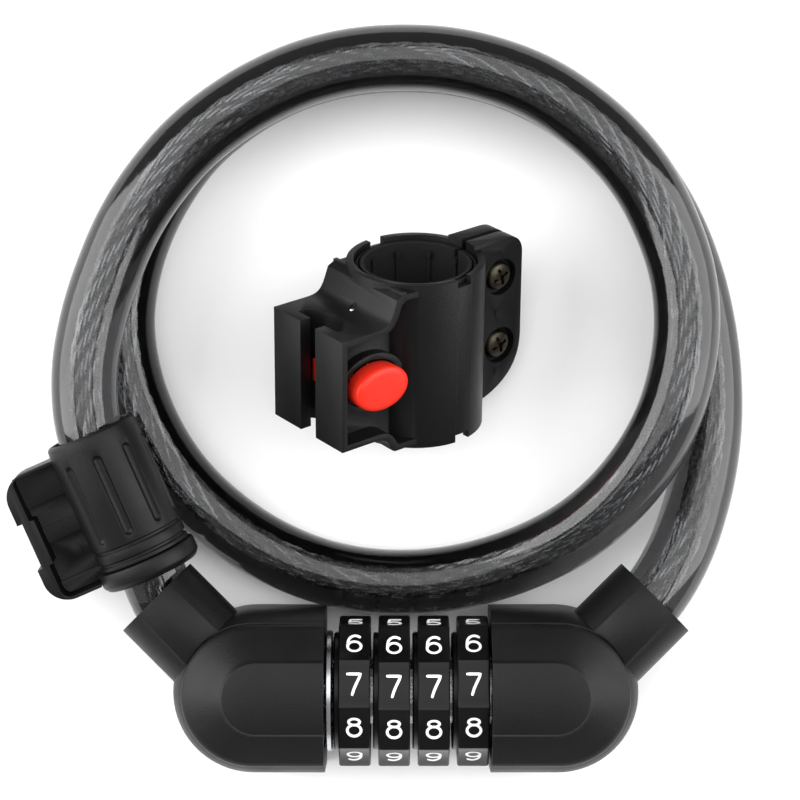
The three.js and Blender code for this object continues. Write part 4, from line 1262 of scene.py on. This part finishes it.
def build_bracket_body():
    near, far = SHAPE["ear"]
    r, bore = SHAPE["r"], SHAPE["bore"]
    body = prism(rail_outline(), -SHAPE["rail_half"], SHAPE["rail_half"], "X")
    lip_y, lip_z = SHAPE["upper_ridge"]
    lip = block((-SHAPE["rail_half"], lip_y, lip_z - 0.4), (SHAPE["rail_half"], lip_y + 0.8, lip_z + 0.5))
    clamp = rod(r, (0, 0, SHAPE["low"]), (0, 0, SHAPE["top"]), 128)
    join(body, clamp, prism(ear_outline(), -far, far, "X"), lip)
    by, bz = SHAPE["button"]
    pocket = prism(rail_outline(SHAPE["web"]), SHAPE["floor"], 40, "X")
    cut(pocket,
        prism(oval(by + 1.4, bz + 1.4), -FAR, SHAPE["boss_top"], "X"),
        rod(r, (0, 0, -FAR), (0, 0, FAR), 128))
    slot_y = SHAPE["front"] + SHAPE["prong"]
    t = SHAPE["t"]
    crescent = [(-t, slot_y), (t, slot_y), (t, slot_y + 1.2)]
    crescent += [(x, slot_y + 1.2 + 3.0 * (1 - (x / t) ** 2))
                 for x in (t * (1 - k / 9) for k in range(1, 18))]
    crescent.append((-t, slot_y + 1.2))
    cut(body,
        pocket,
        prism(oval(by + 0.3, bz + 0.3), SHAPE["floor"], FAR, "X"),
        block((-5.6, -21.2, -2.4), (SHAPE["floor"] + 1, -18.7, 2.4)),
        rod(3, (2.3, SPRING["y"], 0), (SHAPE["floor"] + 1, SPRING["y"], 0), 40),
        block((-SHAPE["slot"], -FAR, -FAR), (SHAPE["slot"], slot_y + 1, FAR)),
        prism(crescent, -FAR, FAR),
        rod(bore, (0, 0, -FAR), (0, 0, FAR), 128),
        block((-near, 4, -FAR), (near, FAR, FAR)),
        rod(0.75, (0, PIN["y"], -FAR), (0, PIN["y"], FAR), 24))
    for z in SHAPE["screw_z"]:
        y = SHAPE["screw_y"]
        cut(body,
            rod(1.9, (-FAR, y, z), (FAR, y, z), 32),
            rod(3.5, (far - 1.5, y, z), (FAR, y, z), 64),
            rod(3.5, (-FAR, y, z), (-far + 1.3, y, z), 6))
    for degrees, side, width in RIM_NOTCHES:
        low, high = (SHAPE["top"] - 1.4, FAR) if side > 0 else (-FAR, SHAPE["low"] + 1.4)
        notch = block((bore - 2, -width / 2, low), (r + 1, width / 2, high))
        notch.data.transform(Matrix.Rotation(math.radians(degrees), 4, "Z"))
        cut(body, notch)
    # round ejector marks on the pocket's floor and on the outer ear
    floor = SHAPE["floor"]
    marks = [rod(0.95, (floor - 0.1, y, z), (floor + 0.3, y, z), 32) for y, z in RAIL_MARKS]
    marks += [rod(0.6, (far - 0.1, y, z), (far + 0.12, y, z), 24) for y, z in EAR_MARKS]
    join(body, *marks)
    soften(body, 0.28, 3, angle=30)
    piece(body, "bracket_shell", "shell", "bracket", BRACKET, "bracket_body")


def liner_sector():
    """One rib of the inner liner."""
    rib = block((9.0, -0.3, -13.1), (9.55, 0.3, 14.2))
    return join(rib, rod(0.55, (9.1, 0, 13.4), (9.1, 0, 14.7), 12))


def split_ring(inner, outer, high):
    """A thin ring down the clamp's bore, with a slit towards the ears."""
    ring = revolve([
        (inner, LINER_LOW), (outer, LINER_LOW), (outer, high - 0.1), (outer - 0.1, high),
        (inner + 0.1, high), (inner, high - 0.1)], 128)
    return cut(ring, block((-0.5, 0, -FAR), (0.5, FAR, FAR)))


def build_liners():
    outer = split_ring(10.35, 10.85, LINER_HIGH)
    smooth(outer, 40)
    piece(outer, "liner", "rubber", "bracket", BRACKET, "bracket_liner")
    inner = split_ring(9.35, 10.05, LINER_HIGH + 0.2)
    ribs = grown(liner_sector(), "ribs", ring_tree(), {
        "Copies": 10, "Axis": (0, 0, 1), "First Turn": math.pi / 10, "Material": look("rubber")})
    join(inner, ribs)
    smooth(inner, 40)
    piece(inner, "inner_liner", "rubber", "bracket", BRACKET, "bracket_inner_liner")


def build_screws():
    far = SHAPE["ear"][1]
    y = SHAPE["screw_y"]
    for z, which in zip(SHAPE["screw_z"], ("upper", "lower")):
        back = far - 1.5 + 0.1
        screw = revolve([
            (0, -far + 0.4), (1.3, -far + 0.4), (1.5, -far + 0.7), (1.5, back), (2.45, back),
            (2.65, back + 0.25), (2.65, back + 0.75), (2.35, back + 1.2), (1.5, back + 1.5),
            (0, back + 1.6)], 64, "X", (0, y, z))
        turn = math.radians(20)
        for k in range(2):
            bar = block((back + 0.75, -1.65, -0.33), (FAR, 1.65, 0.33))
            cross = Matrix.Rotation(turn + k * math.pi / 2, 4, "X")
            bar.data.transform(Matrix.Translation((0, y, z)) @ cross)
            cut(screw, bar)
        cut(screw, rod(0.75, (back + 0.6, y, z), (FAR, y, z), 20))
        soften(screw, 0.1, 2)
        piece(screw, f"screw_{which}", "bronze", "bracket", BRACKET, f"clamp_screw_{which}")
        nut = revolve([
            (1.6, -far - 1.1), (3.15, -far - 1.1), (3.15, -far + 1), (1.6, -far + 1)], 6, "X", (0, y, z))
        cut(nut, rod(1.75, (-FAR, y, z), (FAR, y, z), 32))
        soften(nut, 0.2, 2)
        piece(nut, f"nut_{which}", "steel", "bracket", BRACKET, f"clamp_nut_{which}")


def build_button():
    by, bz = SHAPE["button"]
    back, face = SHAPE["button_back"], SHAPE["button_face"]
    rings = [(0.0, back), (0.0, face - 0.75), (0.08, face - 0.45), (0.28, face - 0.2), (0.6, face - 0.06),
             (1.2, face + 0.02), (2.2, face + 0.08), (3.4, face + 0.1)]
    cap = loft("button", [[Vector((x, y, z)) for y, z in oval(by - i, bz - i)] for i, x in rings])
    join(cap, block((-3, -20.9, -2.1), (9, -19, 2.1)))
    soften(cap, 0.2, 2, angle=40)
    piece(cap, "push_button", "button", "button", BRACKET, "release_button")


def build_rail_pin():
    r, low, top = PIN["r"], PIN["low"], PIN["top"]
    pin = revolve([
        (0, low), (r, low), (r, top - 0.25), (r - 0.1, top - 0.05), (r / 2, top), (0, top)],
        32, "Z", (0, PIN["y"], 0))
    smooth(pin, 40)
    piece(pin, "pin_end", "steel", "bracket", BRACKET, "rail_pin")


def build_spring():
    start, length, wire, radius = SPRING["start"], SPRING["length"], SPRING["wire"], SPRING["radius"]
    count = SPRING["turns"] * SPRING_STEPS
    points = []
    for i in range(count + 1):
        a = 2 * math.pi * i / SPRING_STEPS
        points.append(Vector((
            start + wire + (length - 2 * wire) * i / count,
            SPRING["y"] + radius * math.cos(a), radius * math.sin(a))))
    spring = grown(guide_curve(points), "spring", sweep_tree(), {
        "Radius": wire, "Sides": 12, "Material": look("steel")})
    tidy_mesh(spring)
    smooth(spring, 50)
    piece(spring, "coil_spring", "steel", "bracket", BRACKET, "button_spring")
    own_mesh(spring)


def build_bracket():
    build_bracket_body()
    build_liners()
    build_screws()
    build_button()
    build_rail_pin()
    build_spring()


# ------------------------------------------------------------------ operators and panel
class CABLELOCK_OT_housings(bpy.types.Operator):
    """Makes the shells and covers of both housings of the head"""
    bl_idname = "cable_lock.housings"
    bl_label = "Housings"

    def execute(self, context):
        build_housings()
        return {"FINISHED"}


class CABLELOCK_OT_wheels(bpy.types.Operator):
    """Makes the four number wheels with their painted digits and code discs"""
    bl_idname = "cable_lock.wheels"
    bl_label = "Number wheels"

    def execute(self, context):
        build_wheels()
        return {"FINISHED"}


class CABLELOCK_OT_mechanism(bpy.types.Operator):
    """Makes the locking bolt and the end plate, and gives the metal inside its finish"""
    bl_idname = "cable_lock.mechanism"
    bl_label = "Mechanism"

    def execute(self, context):
        build_mechanism()
        return {"FINISHED"}


class CABLELOCK_OT_carrier(bpy.types.Operator):
    """Makes the carrier with its tray, its collar and its bush"""
    bl_idname = "cable_lock.carrier"
    bl_label = "Cable carrier"

    def execute(self, context):
        build_carrier()
        return {"FINISHED"}


class CABLELOCK_OT_bracket(bpy.types.Operator):
    """Makes the frame bracket with its clamp, liners, screws, button and spring"""
    bl_idname = "cable_lock.bracket"
    bl_label = "Frame bracket"

    def execute(self, context):
        build_bracket()
        return {"FINISHED"}


class CABLELOCK_OT_cable(bpy.types.Operator):
    """Makes the jacket and the stranded rope"""
    bl_idname = "cable_lock.cable"
    bl_label = "Cable"

    def execute(self, context):
        build_cable()
        return {"FINISHED"}


class CABLELOCK_OT_stage(bpy.types.Operator):
    """Makes the floor, the camera and the studio light"""
    bl_idname = "cable_lock.stage"
    bl_label = "Stage"

    def execute(self, context):
        build_stage()
        return {"FINISHED"}


class CABLELOCK_PT_panel(bpy.types.Panel):
    """Sizes, colours and the steps of the model"""
    bl_idname = "CABLELOCK_PT_panel"
    bl_label = "Cable lock"
    bl_space_type = "VIEW_3D"
    bl_region_type = "UI"
    bl_category = "Cable lock"

    def draw(self, context):
        for group in (context.scene.cable_lock_sizes, context.scene.cable_lock_colours):
            box = self.layout.box()
            for name in group.bl_rna.properties.keys():
                if name not in ("rna_type", "name"):
                    box.prop(group, name)
        for step in STEPS:
            self.layout.operator(step.bl_idname)


STEPS = (
    CABLELOCK_OT_stage, CABLELOCK_OT_housings, CABLELOCK_OT_wheels, CABLELOCK_OT_mechanism,
    CABLELOCK_OT_carrier, CABLELOCK_OT_bracket, CABLELOCK_OT_cable,
)
CLASSES = (CableLockSizes, CableLockColours, *STEPS, CABLELOCK_PT_panel)


def register():
    for kind in CLASSES:
        bpy.utils.register_class(kind)
    bpy.types.Scene.cable_lock_sizes = bpy.props.PointerProperty(type=CableLockSizes)
    bpy.types.Scene.cable_lock_colours = bpy.props.PointerProperty(type=CableLockColours)


def unregister():
    del bpy.types.Scene.cable_lock_colours
    del bpy.types.Scene.cable_lock_sizes
    for kind in reversed(CLASSES):
        bpy.utils.unregister_class(kind)


def main():
    register()
    make = bpy.ops.cable_lock
    make.stage()
    make.housings()
    make.wheels()
    make.mechanism()
    make.carrier()
    make.bracket()
    make.cable()


if __name__ == "__main__":
    main()
